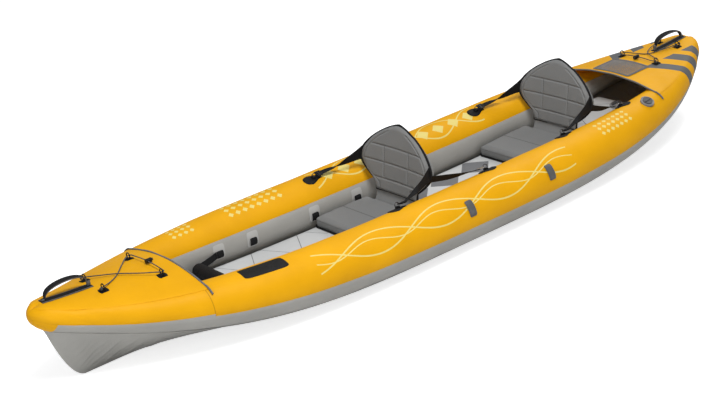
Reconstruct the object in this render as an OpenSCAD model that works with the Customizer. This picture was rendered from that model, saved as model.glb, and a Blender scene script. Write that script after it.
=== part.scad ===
// Inflatable tandem kayak. +X is the bow, +Y is port, +Z is up; the ground is at Z = 0.

/* [Hull] */
// Overall length from bow tip to stern tip
hull_len = 4000; // [3800:10:4200]
// Distance between the centres of the two air tubes at mid length
tube_spread = 700; // [670:2:730]
// Outside radius of a covered air tube at mid length
tube_r = 131; // [124:0.5:138]
// Outside radius of a covered air tube just before its nose
nose_r = 55; // [50:0.5:60]
// Length over which each nose rounds off
nose_len = 70; // [50:1:90]
// Height of the tube centres above the ground at mid length
tube_h = 154; // [150:0.5:160]
// Rise of the tube centres from mid length to each tip
end_rise = 178; // [160:1:200]
// Thickness of the cover fabric
cover_t = 2; // [1.5:0.1:2.5]
// Angle from the top of a tube to the inner colour seam
seam_in = 68; // [60:1:75]
// Angle from the top of a tube to the outer colour seam
seam_out = 101; // [95:1:108]

/* [Floor and bottom] */
// Thickness of the inflated floor panel
floor_t = 90; // [84:0.5:94]
// Distance of the front end of the floor from the bow tip
floor_bow_gap = 560; // [540:5:600]
// Distance of the aft end of the floor from the stern tip
floor_stern_gap = 540; // [530:5:560]
// Thickness of the bottom skin
skin_t = 4; // [3:0.1:5]
// Length over which the keel sweeps up into each stem
stem_len = 200; // [185:1:220]
// Thickness of the stiff plate inside each cutwater
form_t = 6; // [4:0.5:8]

/* [Decks] */
// Length of each deck, from its open edge to the tip
deck_len = 650; // [620:5:680]
// Thickness of the deck fabric
deck_t = 3; // [2:0.1:4]
// Height of the deck crown over the tube tops at the open edge
deck_crown = 36; // [28:1:44]
// Radius of the piping on the deck edges
trim_r = 4; // [3:0.1:5]
// Diameter of the deck bungee
cord_d = 5; // [4:0.1:5.4]
// Length of the mesh pocket on the stern deck
pocket_len = 150; // [120:2:160]
// Width of the mesh pocket
pocket_w = 230; // [200:2:250]

/* [Handles] */
// Distance of the outer foot of a carrying handle from the tip
handle_back = 85; // [75:1:95]
// Length of a carrying handle between its feet
handle_len = 195; // [180:1:205]
// Height of a carrying handle over its swing axis
handle_rise = 46; // [36:1:56]
// Width of the webbing at the top of a carrying handle
handle_w = 36; // [28:1:42]
// Thickness of the handle webbing
handle_t = 7; // [5:0.5:9]

/* [Valves] */
// Distance of the tube valves from the stern tip
tube_valve_gap = 755; // [740:5:775]
// Distance of the floor valve ahead of the floor's aft end
floor_valve_gap = 60; // [50:1:75]
// Outside radius of a valve flange
valve_r = 34; // [32:0.5:36]
// Radius of the valve cap
cap_r = 24; // [22:0.5:26]
// Travel of the valve plunger
plunger_travel = 3; // [2:0.25:3.5]

/* [Seats] */
// Place of the front seat's fold line
front_fold_x = 95; // [85:1:105]
// Distance of the rear seat's fold line from the stern tip
rear_fold_gap = 1050; // [1030:5:1075]
// Length of a seat base cushion
seat_len = 325; // [300:5:345]
// Room between a seat base cushion and each air tube
seat_side_gap = 19; // [14:1:30]
// Thickness of a seat base cushion at its edge
seat_t = 46; // [40:1:50]
// Height of a backrest cushion
back_len = 325; // [315:1:335]
// Greatest width of a backrest cushion
back_w = 504; // [484:2:508]
// Width of a backrest cushion at its lower edge
back_foot_w = 290; // [280:2:310]
// Greatest thickness of a backrest cushion
back_t = 34; // [28:1:38]
// Angle that a backrest leans back at rest
back_lean = 10; // [6:0.5:12]
// Width of the seat webbing
web_w = 25; // [20:1:28]

/* [Foot brace] */
// Place of the foot bar
brace_x = 1120; // [1110:1:1130]
// Length of the foot bar
brace_len = 290; // [260:2:300]
// Radius of the foot bar
brace_r = 34; // [30:0.5:36]

/* [Hidden] */

// Colours
yellow = "#f0a818";
light_grey = "#b4b4b6";
mid_grey = "#8a8b8d";
dark_grey = "#5b5c60";
black = "#1c1c1e";
steel = "#a8aaad";

// Hull lines
half_len = hull_len / 2;
floor_front = half_len - floor_bow_gap;
floor_aft = half_len - floor_stern_gap;
stem_x = half_len - stem_len;
deck_edge = half_len - deck_len;
handle_far = half_len - handle_back;
tube_valve_x = half_len - tube_valve_gap;
floor_valve_x = floor_aft - floor_valve_gap;
seat_w = tube_spread - 2 * tube_r - 2 * seat_side_gap;
bow_fullness = 3.6;
stern_fullness = 4.6;
$aft = false;
rise_power = 3;
taper_start = 4;
taper_end = 2.3;
nose_blunt = 0.96;
gap = 0.5;
seat_gap = 0.6;
function share(x) = min(1, abs(x) / half_len);
function plan_power(x) = x < 0 || $aft ? stern_fullness : bow_fullness;
function tube_c(x) = tube_spread / 2 * (1 - pow(share(x), plan_power(x)));
function nose_cap(x) = let (u = max(0, (abs(x) - half_len + nose_len) / nose_len)) sqrt(1 - nose_blunt * u * u);
function tube_rad(x) = (nose_r + (tube_r - nose_r) * pow(1 - pow(share(x), taper_start), taper_end)) * nose_cap(x);
function tube_z(x) = tube_h + end_rise * pow(share(x), rise_power);
function yaw(x) = -sign(x) * atan(tube_spread / 2 * plan_power(x) * pow(share(x), plan_power(x) - 1) / half_len);
function pitch(x) = -sign(x) * atan(end_rise * rise_power * pow(share(x), rise_power - 1) / half_len);

// A point on the port tube: angle a from the top, positive outwards, raised by up off the cover
function tube_pt(x, a, up, keep) =
  [x, max(keep, tube_c(x) + (tube_rad(x) + up) * sin(a)), tube_z(x) + (tube_rad(x) + up) * cos(a)];

// Places along the hull, closer together towards the tips
hull_steps = 30;
stations = [for (j = [0:hull_steps]) half_len * sin(180 * j / hull_steps - 90)];
function between(lo, hi) = concat([lo], [for (x = stations) if (x > lo + 8 && x < hi - 8) x], [hi]);

// A closed sheet between an outer grid a and an inner grid b, each a list of rows
module sheet(a, b) {
  n = len(a);
  m = len(a[0]);
  pts = concat([for (row = a) each row], [for (row = b) each row]);
  o = n * m;
  polyhedron(pts, concat(
    [for (j = [0:n - 2], i = [0:m - 2]) each [
      [j * m + i, j * m + i + 1, (j + 1) * m + i + 1], [j * m + i, (j + 1) * m + i + 1, (j + 1) * m + i],
      [o + j * m + i, o + (j + 1) * m + i + 1, o + j * m + i + 1],
      [o + j * m + i, o + (j + 1) * m + i, o + (j + 1) * m + i + 1]]],
    [for (j = [0:n - 2]) each [
      [j * m, (j + 1) * m, o + (j + 1) * m], [j * m, o + (j + 1) * m, o + j * m],
      [j * m + m - 1, o + j * m + m - 1, o + (j + 1) * m + m - 1],
      [j * m + m - 1, o + (j + 1) * m + m - 1, (j + 1) * m + m - 1]]],
    [for (i = [0:m - 2]) each [
      [o + i, o + i + 1, i + 1], [o + i, i + 1, i],
      [o + (n - 1) * m + i, (n - 1) * m + i, (n - 1) * m + i + 1],
      [o + (n - 1) * m + i, (n - 1) * m + i + 1, o + (n - 1) * m + i + 1]]]));
}

// A closed solid through rings of points that run anticlockwise seen from the far end
module loft(rings) {
  n = len(rings);
  m = len(rings[0]);
  polyhedron([for (ring = rings) each ring], concat(
    [for (j = [0:n - 2], i = [0:m - 1]) let (k = (i + 1) % m) each [
      [j * m + i, (j + 1) * m + k, j * m + k], [j * m + i, (j + 1) * m + i, (j + 1) * m + k]]],
    [for (i = [1:m - 2]) each [[0, i, i + 1], [(n - 1) * m, (n - 1) * m + i + 1, (n - 1) * m + i]]]));
}

// A round cord of radius r through the points p
cord_sides = 8;
function unit(v) = v / norm(v);
function heading(p, k) = unit(p[min(k + 1, len(p) - 1)] - p[max(k - 1, 0)]);
function side_of(d) = unit(abs(d[2]) > 0.9 ? cross([1, 0, 0], d) : cross([0, 0, 1], d));
module cord(p, r, sides) {
  loft([for (k = [0:len(p) - 1])
    let (d = heading(p, k), u = side_of(d), v = cross(d, u))
    [for (i = [0:sides - 1]) p[k] + r * (cos(360 * i / sides) * u + sin(360 * i / sides) * v)]]);
}

// A smooth run through hand-chosen points, with n steps in each stretch
function spline_pt(a, b, c, d, t) =
  0.5 * ((2 * b) + (c - a) * t + (2 * a - 5 * b + 4 * c - d) * t * t + (3 * b - a - 3 * c + d) * t * t * t);
function smooth_run(p, n) = let (last = len(p) - 1) concat(
  [for (k = [0:last - 1], s = [0:n - 1])
    spline_pt(p[max(k - 1, 0)], p[k], p[k + 1], p[min(k + 2, last)], s / n)], [p[last]]);

// A flat ribbon from p to q of thickness t, its width turning from direction w0 to w1
module ribbon(p, q, w0, w1, width, t) {
  steps = 5;
  grid = function(side) [for (k = [0:steps])
    let (f = k / steps, across = unit(w0 * (1 - f) + w1 * f) * width / 2, lift = unit(cross(q - p, across)) * t / 2)
    [for (e = [-1, 1]) p + (q - p) * f + e * across + side * lift]];
  sheet(grid(1), grid(-1));
}

// Puts its children on the port tube: local Z is off the tube at angle a, local X runs forward
module on_tube(x, a) {
  translate([x, tube_c(x), tube_z(x)]) rotate([0, pitch(x), yaw(x)]) rotate([-a, 0, 0])
    translate([0, 0, tube_rad(x)]) children();
}

// The place of a point given in the frame of on_tube
function turn_x(a, v) = [v[0], v[1] * cos(a) - v[2] * sin(a), v[1] * sin(a) + v[2] * cos(a)];
function turn_y(a, v) = [v[0] * cos(a) + v[2] * sin(a), v[1], v[2] * cos(a) - v[0] * sin(a)];
function turn_z(a, v) = [v[0] * cos(a) - v[1] * sin(a), v[0] * sin(a) + v[1] * cos(a), v[2]];
function on_tube_pt(x, a, v) = [x, tube_c(x), tube_z(x)]
  + turn_z(yaw(x), turn_y(pitch(x), turn_x(-a, v + [0, 0, tube_rad(x)])));

// A patch of thickness t lying on the port tube between x0 and x1 and between angles a0 and a1
module tube_patch(x0, x1, a0, a1, up, t) {
  nx = x1 - x0 > 150 ? 3 : 1;
  na = 4;
  grid = function(h) [for (j = [0:nx]) [for (i = [0:na])
    tube_pt(x0 + (x1 - x0) * j / nx, a0 + (a1 - a0) * i / na, h, 0)]];
  sheet(grid(up + t), grid(up));
}

module both_sides() {
  children();
  mirror([0, 1, 0]) children();
}

// Mirrors its children to the stern, where the hull is fuller
module at_stern() {
  $aft = true;
  mirror([1, 0, 0]) children();
}

// Air tubes and their covers
upper_cols = 12;
outer_cols = 5;
inner_cols = 6;
upper_angles = [for (i = [0:upper_cols]) (seam_in + seam_out) * i / upper_cols - seam_in];
lower_angles = concat([for (i = [0:outer_cols - 1]) seam_out + (180 - seam_out) * i / outer_cols],
  [for (i = [0:inner_cols]) 180 + (180 - seam_in) * i / inner_cols]);
tube_sides = 16;
bladder_gap = 2.2;
air_rows = [for (x = stations) if (abs(x) < half_len - nose_len) x];
module cover(angles) {
  grid = function(up, keep) [for (x = stations) [for (a = angles) tube_pt(x, a, up, keep)]];
  sheet(grid(0, gap), grid(-cover_t, gap + cover_t));
}

module air_tube() {
  inset = cover_t + bladder_gap;
  loft([for (x = air_rows) [for (i = [0:tube_sides - 1])
    tube_pt(x, -360 * i / tube_sides, -inset, gap + inset)]]);
}

module port_air_tube() { color(mid_grey) air_tube(); }
module starboard_air_tube() { color(mid_grey) mirror([0, 1, 0]) air_tube(); }
module port_upper_cover() { color(yellow) cover(upper_angles); }
module port_lower_cover() { color(light_grey) cover(lower_angles); }
module starboard_upper_cover() { color(yellow) mirror([0, 1, 0]) cover(upper_angles); }
module starboard_lower_cover() { color(light_grey) mirror([0, 1, 0]) cover(lower_angles); }

// Inflated floor
floor_base = skin_t + seat_gap;
floor_drop = tube_h - floor_base - floor_t;
floor_wall_gap = 3;
floor_arc = 8;
floor_steps = 18;
function floor_top(x) = tube_z(x) - floor_drop;
function floor_half(x) = tube_c(x) - sqrt(pow(tube_rad(x), 2) - pow(floor_drop, 2)) - floor_wall_gap;
module floor_panel() {
  color(light_grey) loft([for (j = [0:floor_steps])
    let (x = -floor_aft + (floor_front + floor_aft) * j / floor_steps,
         er = floor_t / 2, cy = floor_half(x) - er, cz = floor_top(x) - er)
    concat([for (i = [0:floor_arc]) [x, cy + er * cos(180 * i / floor_arc - 90), cz + er * sin(180 * i / floor_arc - 90)]],
           [for (i = [0:floor_arc]) [x, -cy + er * cos(180 * i / floor_arc + 90), cz + er * sin(180 * i / floor_arc + 90)]])]);
}

// Bottom skin: flat amidships, drawn into a V over each cutwater
stem_curve = 0.0122;
vee_from = 0.95;
vee_power = 1;
vee_blend = 2;
flat_power = 8;
skin_end = half_len - nose_len;
skin_cols = 7;
stem_steps = 6;
stem_rows = [for (j = [0:stem_steps]) stem_x + (skin_end - stem_x) * j / stem_steps];
skin_rows = concat([for (j = [stem_steps:-1:0]) -stem_rows[j]], [for (x = stations) if (abs(x) < stem_x - 20) x], stem_rows);
function keel_z(x) = stem_curve * pow(max(0, abs(x) - stem_x), 2);
function skin_power(x) = vee_power + (flat_power - vee_power) * pow(max(0, 1 - share(x) / vee_from), vee_blend);
function skin_side(x) = max(keel_z(x) + 1, tube_z(x) - tube_rad(x) - seat_gap - skin_t);
function skin_z(x, s) = keel_z(x) + (skin_side(x) - keel_z(x)) * pow(abs(s), skin_power(x));
module bottom_skin() {
  grid = function(up) [for (x = skin_rows) [for (i = [-skin_cols:skin_cols])
    let (s = i / skin_cols) [x, -s * tube_c(x), skin_z(x, s) + up]]];
  color(light_grey) sheet(grid(0), grid(skin_t));
}

// Stiff plate inside each cutwater
form_len = 520;
form_aft = half_len - form_len;
form_rows = [for (x = skin_rows) if (x > form_aft && x < stem_rows[stem_steps - 1]) x];
function foot_rise(x) = (skin_z(x, 1 / skin_cols) - keel_z(x)) * form_t / 2 * skin_cols / tube_c(x);
function form_foot(j) = let (x = form_rows) keel_z(x[j]) + skin_t + seat_gap
  + max([for (k = [max(0, j - 1):min(len(x) - 1, j + 1)]) foot_rise(x[k])]);
module cutwater_form() {
  last = len(form_rows) - 1;
  edge = concat([for (j = [0:last]) [form_rows[j], form_foot(j)]],
    [for (j = [last:-1:0]) [form_rows[j], (form_foot(j) + tube_z(form_rows[j])) / 2]]);
  translate([0, form_t / 2, 0]) rotate([90, 0, 0]) linear_extrude(form_t) polygon(edge);
}

module bow_form() { color(dark_grey) cutwater_form(); }
module stern_form() { color(dark_grey) at_stern() cutwater_form(); }

// Decks
deck_tip = 40;
deck_end = half_len - deck_tip;
deck_cols = 5;
deck_gap = 0.9;
function deck_bulge(x) = deck_crown * (1 - pow((abs(x) - deck_edge) / (deck_end - deck_edge), 2));
function deck_base(x, y) = tube_z(x) + tube_rad(x) + deck_gap + deck_bulge(x) * (1 - pow(y / tube_c(x), 2));
function deck_top(x, y) = deck_base(x, y) + deck_t;
module deck() {
  rows = between(deck_edge, deck_end);
  grid = function(up) [for (x = rows) [for (i = [-deck_cols:deck_cols])
    let (y = tube_c(x) * i / deck_cols) [x, y, deck_base(x, y) + up]]];
  sheet(grid(deck_t), grid(0));
}

module bow_deck() { color(yellow) deck(); }
module stern_deck() { color(yellow) at_stern() deck(); }

// Piping along each deck edge and down over the tube shoulders
trim_reach = 40;
trim_steps = 4;
trim_gap = 0.2;
module deck_trim() {
  x = deck_edge - trim_r - trim_gap;
  lift = trim_r + deck_gap;
  shoulder = [for (k = [trim_steps:-1:1]) tube_pt(x, trim_reach * k / trim_steps, lift, 0)];
  span = [for (i = [deck_cols:-1:-deck_cols]) let (y = tube_c(x) * i / deck_cols)
    [x, y, tube_z(x) + tube_rad(x) + lift + deck_bulge(deck_edge) * (1 - pow(i / deck_cols, 2))]];
  far = [for (k = [trim_steps - 1:-1:0]) [shoulder[k][0], -shoulder[k][1], shoulder[k][2]]];
  cord(concat(shoulder, span, far), trim_r, cord_sides);
}

module bow_deck_trim() { color(mid_grey) deck_trim(); }
module stern_deck_trim() { color(mid_grey) at_stern() deck_trim(); }

// Mesh pocket on the stern deck
pocket_t = 2;
pocket_up = 0.8;
pocket_edge = 25;
module mesh_pocket() {
  rows = between(deck_edge + pocket_edge, deck_edge + pocket_edge + pocket_len);
  grid = function(up) [for (x = rows) [for (i = [-3:3]) let (y = pocket_w / 6 * i) [x, y, deck_top(x, y) + pocket_up + up]]];
  color(mid_grey) at_stern() sheet(grid(pocket_t), grid(0));
}

// Deck rings, bungee cords and cord locks
ring_r = 13;
ring_wire = 2.5;
ring_foot = 24;
ring_foot_h = 6;
ring_lift = ring_r + ring_wire + 1;
bow_rings = [[310, 75], [555, 130]];
stern_rings = [[185, 62], [410, 115]];
module deck_ring(x, y) {
  translate([x, y, deck_top(x, y) + ring_lift]) rotate([0, 90, 0]) rotate_extrude($fn = 32)
    translate([ring_r, 0]) circle(ring_wire, $fn = 16);
  rotate_to_deck(x, y) translate([0, 0, gap]) cylinder(r = ring_foot / 2, h = ring_foot_h, $fn = 32);
}
module rotate_to_deck(x, y) {
  e = 5;
  tip_y = atan((deck_top(x, y + e) - deck_top(x, y - e)) / (2 * e));
  tip_x = atan((deck_top(x + e, y) - deck_top(x - e, y)) / (2 * e));
  translate([x, y, deck_top(x, y)]) rotate([tip_y, -tip_x, 0]) children();
}
module deck_rings(places) {
  for (p = places, side = [-1, 1]) deck_ring(half_len - p[0], side * p[1]);
}

module bow_deck_rings() { color(black) deck_rings(bow_rings); }
module stern_deck_rings() { color(black) at_stern() deck_rings(stern_rings); }

// Route of each bungee: distance from the tip, place across and height over the deck
bow_route = [
  [300, 80, 16], [310, 75, 16], [360, 45, 7], [420, 0, 3], [490, -75, 8], [530, -112, 16], [555, -130, 17],
  [567, -128, 16], [570, -110, 14], [570, -60, 14], [570, -20, 14], [570, 20, 14], [570, 60, 14], [570, 110, 14],
  [567, 128, 16], [555, 130, 17], [530, 112, 16], [490, 75, 12], [420, 0, 9], [360, -45, 11], [310, -75, 16],
  [300, -80, 16]];
stern_route = [
  [175, 65, 16], [185, 62, 16], [235, 48, 11], [295, 28, 8], [345, 0, 3], [375, -60, 8], [395, -100, 16],
  [410, -115, 17], [422, -113, 16], [425, -95, 14], [425, -55, 14], [425, -20, 14], [425, 20, 14], [425, 55, 14],
  [425, 95, 14], [422, 113, 16], [410, 115, 17], [395, 100, 16], [375, 60, 12], [345, 0, 9], [295, -28, 12],
  [235, -48, 12], [185, -62, 16], [175, -65, 16]];
route_steps = 2;
function over_deck(route) = [for (p = route) let (x = half_len - p[0]) [x, p[1], deck_top(x, p[1]) + p[2]]];
module bungee(route) { cord(smooth_run(over_deck(route), route_steps), cord_d / 2, cord_sides); }

module bow_bungee() { color(black) bungee(bow_route); }
module stern_bungee() { color(black) at_stern() bungee(stern_route); }

// Cord lock: a barrel across the cord with a sprung button at its open end
lock_r = 10;
lock_len = 26;
lock_bore = cord_d / 2 + 0.6;
button_r = 6;
button_len = 16;
button_travel = 4;
button_gap = 0.3;
lock_mid = 8;
function lock_seat(route) = let (p = over_deck(route)[len(route) / 2 - 1]) [p[0], 0, p[2]];
module lock_barrel(route) {
  translate(lock_seat(route)) difference() {
    translate([lock_mid, 0, 0]) rotate([0, -90, 0]) cylinder(r = lock_r, h = lock_len, $fn = 48);
    rotate([90, 0, 0]) cylinder(r = lock_bore, h = 3 * lock_r, center = true, $fn = 32);
    translate([-lock_bore - 2, 0, 0]) rotate([0, -90, 0]) cylinder(r = button_r + button_gap, h = lock_len, $fn = 48);
  }
}
module lock_button(route) {
  translate(lock_seat(route)) translate([-lock_bore - 2 - button_travel - button_gap, 0, 0]) rotate([0, -90, 0])
    cylinder(r = button_r, h = button_len, $fn = 48);
}

module bow_cord_lock() { color(black) lock_barrel(bow_route); }
module stern_cord_lock() { color(black) at_stern() lock_barrel(stern_route); }
module bow_lock_button() { color(dark_grey) lock_button(bow_route); }
module stern_lock_button() { color(dark_grey) at_stern() lock_button(stern_route); }

// Carrying handles: a base strap with two feet, and a webbing arch that swings between them
base_w = 40;
base_t = 4;
foot_r = 6;
foot_len = 14;
foot_sink = 2;
base_over = 4;
root_w = 8;
handle_near = handle_far - handle_len;
handle_axis_z = max(deck_top(handle_far, 0), deck_top(handle_near, 0)) + gap + base_t + foot_r - foot_sink;
module handle_base() {
  x0 = handle_near - foot_len - base_over;
  x1 = handle_far + foot_len + base_over;
  rows = between(x0, x1);
  grid = function(up) [for (x = rows) [for (i = [-2:2])
    let (y = min(base_w / 2, 0.8 * tube_c(x)) * i / 2) [x, y, deck_top(x, y) + gap + up]]];
  sheet(grid(base_t), grid(0));
}
module handle_foot(x) {
  drop = handle_axis_z - deck_top(x + foot_len / 2, 0) - gap - 1;
  translate([x, 0, handle_axis_z]) rotate([0, 90, 0]) cylinder(r = foot_r, h = foot_len, $fn = 32);
  translate([x, -foot_r, handle_axis_z - drop]) cube([foot_len, 2 * foot_r, drop]);
}
module handle_mount() {
  handle_base();
  handle_foot(handle_far + gap);
  handle_foot(handle_near - gap - foot_len);
}
handle_steps = 16;
module handle_arch() {
  path = [for (k = [0:handle_steps]) let (a = 180 * k / handle_steps)
    [(handle_far + handle_near) / 2 - handle_len / 2 * cos(a), handle_axis_z + handle_rise * pow(sin(a), 0.7)]];
  width = [for (k = [0:handle_steps]) root_w + (handle_w - root_w) * pow(sin(180 * k / handle_steps), 0.5)];
  out = [for (k = [0:handle_steps]) let (d = unit(path[min(k + 1, handle_steps)] - path[max(k - 1, 0)]))
    [-d[1], d[0]] * handle_t / 2];
  grid = function(s) [for (k = [0:handle_steps]) [for (side = [-1, 0, 1])
    [max(handle_near, min(handle_far, path[k][0] + s * out[k][0])), side * width[k] / 2, path[k][1] + s * out[k][1]]]];
  sheet(grid(1), grid(-1));
}

module bow_handle_base() { color(black) handle_mount(); }
module stern_handle_base() { color(black) at_stern() handle_mount(); }
module bow_handle() { color(black) handle_arch(); }
module stern_handle() { color(black) at_stern() handle_arch(); }

// Inflation valves
valve_tilt = 25;
valve_saddle = 7;
valve_rise = 3;
valve_clear = 2.4;
throat_r = 14;
cap_h = 5;
cap_top = 1;
grip_h = 4;
grip_inset = 4;
cap_gap = 0.4;
grip_w = 6;
stem_r = 5;
guide_r = stem_r + 0.3;
throat_floor = -2;
disc_t = 2;
disc_r = throat_r - 3;
stem_clear = 0.8;
module valve_seat() {
  difference() {
    translate([0, 0, -valve_saddle]) cylinder(r = valve_r, h = valve_saddle + valve_rise, $fn = 64);
    translate([0, 0, throat_floor]) cylinder(r = throat_r, h = valve_rise + 4, $fn = 48);
    translate([0, 0, -2 * valve_saddle]) cylinder(r = guide_r, h = 3 * valve_saddle, $fn = 32);
    children();
  }
}
module valve_cap() {
  translate([0, 0, valve_rise + cap_gap]) difference() {
    union() {
      cylinder(r = cap_r, h = cap_h, $fn = 64);
      translate([grip_inset - cap_r, -grip_w / 2, cap_h - cap_top]) cube([2 * (cap_r - grip_inset), grip_w, grip_h + cap_top]);
    }
    translate([0, 0, -cap_top]) cylinder(r = throat_r, h = cap_h, $fn = 48);
  }
}
module valve_plunger() {
  foot = plunger_travel + stem_clear - valve_saddle;
  face = throat_floor + plunger_travel + gap;
  translate([0, 0, face]) cylinder(r = disc_r, h = disc_t, $fn = 48);
  translate([0, 0, foot]) cylinder(r = stem_r, h = face + disc_t / 2 - foot, $fn = 32);
}
module tube_cut() {
  x = -tube_valve_x;
  translate([0, 0, -tube_rad(x)]) rotate([0, 90, 0]) cylinder(r = tube_rad(x) + valve_clear, h = 6 * valve_r, center = true, $fn = 96);
}
module at_port_valve() { on_tube(-tube_valve_x, valve_tilt) translate([0, 0, valve_saddle]) children(); }
module at_floor_valve() {
  reach = 50;
  rise = floor_top(reach - floor_valve_x) - floor_top(-reach - floor_valve_x);
  translate([-floor_valve_x, 0, floor_top(-floor_valve_x) + valve_saddle + 2 * seat_gap])
    rotate([0, -atan(rise / (2 * reach)), 0]) children();
}

module port_valve_body() { color(mid_grey) at_port_valve() valve_seat() translate([0, 0, -valve_saddle]) tube_cut(); }
module starboard_valve_body() { color(mid_grey) mirror([0, 1, 0]) at_port_valve() valve_seat() translate([0, 0, -valve_saddle]) tube_cut(); }
module floor_valve_body() { color(mid_grey) at_floor_valve() valve_seat(); }
module port_valve_cap() { color(dark_grey) at_port_valve() valve_cap(); }
module starboard_valve_cap() { color(dark_grey) mirror([0, 1, 0]) at_port_valve() valve_cap(); }
module floor_valve_cap() { color(dark_grey) at_floor_valve() valve_cap(); }
module port_valve_plunger() { color(steel) at_port_valve() valve_plunger(); }
module starboard_valve_plunger() { color(steel) mirror([0, 1, 0]) at_port_valve() valve_plunger(); }
module floor_valve_plunger() { color(steel) at_floor_valve() valve_plunger(); }

// Patches on the tubes
tab_places = [45, -455];
tab_len = 38;
tab_from = 44;
tab_to = 76;
patch_t = 3;
module side_tabs() {
  color(mid_grey) both_sides() for (x = tab_places)
    tube_patch(x - tab_len / 2, x + tab_len / 2, tab_from, tab_to, gap, patch_t);
}

bare_len = 205;
bare_gap = 160;
bare_x = [deck_edge - bare_gap - bare_len, deck_edge - bare_gap];
bare_a = [-8, 30];
bare_up = 0.8;
module bare_patch() { color(black) tube_patch(bare_x[0], bare_x[1], bare_a[0], bare_a[1], bare_up, 1); }

wall_places = [960, 770, 410, 155];
wall_len = 58;
wall_from = -108;
wall_to = -78;
wall_up = 0.95;
wall_t = 1.5;
module wall_patches() {
  color(light_grey) both_sides() for (x = wall_places)
    tube_patch(x - wall_len / 2, x + wall_len / 2, wall_from, wall_to, wall_up, wall_t);
}

wall_tab_len = 38;
wall_tab_t = 5;
module wall_tabs() {
  color(black) both_sides() for (x = wall_places)
    tube_patch(x - wall_tab_len / 2, x + wall_tab_len / 2, wall_from + 4, wall_to - 10, wall_up + wall_t + gap, wall_tab_t);
}

// Foot bar and its straps
brace_lift = 2;
brace_z = floor_top(brace_x) + brace_lift + brace_r;
brace_strap_w = 32;
brace_strap_t = 3;
brace_cap = 14;
module foot_bar() {
  color(black) translate([brace_x, 0, brace_z]) rotate([90, 0, 0]) rotate_extrude($fn = 40) polygon([
    [0, -brace_len / 2], [brace_r - brace_cap, -brace_len / 2], [brace_r, -brace_len / 2 + brace_cap],
    [brace_r, brace_len / 2 - brace_cap], [brace_r - brace_cap, brace_len / 2], [0, brace_len / 2]]);
}
module foot_straps() {
  wall = tube_pt(wall_places[0] + wall_tab_len / 2 + seat_gap, (wall_from + wall_to) / 2 - 3, wall_up + wall_t + gap + wall_tab_t / 2, 0);
  bar = [brace_x + brace_r / 2, brace_len / 2 + brace_strap_t / 2 + seat_gap, brace_z];
  color(black) both_sides() ribbon(wall, bar, [0, 0, 1], [0, 0, 1], brace_strap_w, brace_strap_t);
}

// Seats
base_crown = 12;
seat_rows = [0, 0.04, 0.12, 0.3, 0.48, 0.52, 0.56, 0.72, 0.88, 0.96, 1];
seat_cols = 8;
fold_gap = 10;
fold_x = [front_fold_x, rear_fold_gap - half_len];
base_back = 12;
draw_in = 8;
edge_share = 0.6;
hem_share = 0.3;
function seat_edge(u) = pow(max(0, 1 - pow(abs(2 * u - 1), 6)), 0.5);
function seat_seam(u) = abs(u - 0.52) < 0.02 ? 0.55 : 1;
function fold_z(fx) = floor_top(fx + seat_len / 2) + seat_gap + seat_t + base_crown + fold_gap;
module seat_base(fx) {
  x0 = fx + base_back;
  grid = function(top) [for (u = seat_rows) [for (i = [-seat_cols:seat_cols])
    let (s = i / seat_cols, side = pow(max(0, 1 - pow(abs(s), 6)), 0.5),
         pull = 1 - draw_in / seat_w * (1 - pow(2 * u - 1, 2)) * 2)
    [x0 + seat_len * u, s * seat_w / 2 * pull,
     floor_top(x0 + seat_len * u) + seat_gap + (top ? seat_t * edge_share + (seat_t * (1 - edge_share) + base_crown * seat_seam(u)) * seat_edge(u) * side
                    : seat_t * hem_share * (1 - seat_edge(u) * side))]]];
  sheet(grid(true), grid(false));
}

module front_seat_base() { color(mid_grey) seat_base(fold_x[0]); }
module rear_seat_base() { color(mid_grey) seat_base(fold_x[1]); }

// Backrest: u runs across from -1 to 1 and v up from 0 to 1, in a plane that leans back from the fold line
back_start = 24;
back_neck = 0.116;
back_widest = 0.464;
back_front = 7;
back_wrap = 22;
back_rows = [0, 0.03, back_neck, 0.2, 0.28, 0.33, 0.36, 0.39, back_widest, 0.55, 0.61, 0.64, 0.67, 0.77, 0.88, 0.95, 1];
back_cols = 8;
back_top_span = 0.55;
shoulder_power = 1.6;
peak_power = 0.78;
back_edge_t = 5;
function back_half(v) = v < back_widest
  ? back_foot_w / 2 + (back_w - back_foot_w) / 2 * sin(90 * max(0, v - back_neck) / (back_widest - back_neck))
  : back_w / 2 * pow(1 - pow((v - back_widest) / back_top_span, shoulder_power), peak_power);
function back_seam(v) = min(abs(v - 0.36), abs(v - 0.64)) < 0.01 ? 0.5 : 1;
function back_edge(u, v) = pow(max(0, (1 - pow(abs(u), 6)) * (1 - pow(abs(2 * v - 1), 8))), 0.5);
function back_depth(u, v) = back_wrap * pow(abs(u) * back_half(v) / (back_w / 2), 2);
function lean(fx, p) = [fx + p[0] * cos(back_lean) - p[2] * sin(back_lean), p[1],
                        fold_z(fx) + p[0] * sin(back_lean) + p[2] * cos(back_lean)];
function back_pt(fx, u, v, d) = lean(fx, [back_front - back_t / 2 + back_depth(u, v) + d, u * back_half(v), back_start + back_len * v]);
module backrest(fx) {
  grid = function(face) [for (v = back_rows) [for (i = [-back_cols:back_cols])
    let (u = i / back_cols)
    back_pt(fx, u, v, face * (back_edge_t + (back_t / 2 - back_edge_t) * back_edge(u, v) * (face > 0 ? back_seam(v) : 1)))]];
  sheet(grid(-1), grid(1));
}

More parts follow.
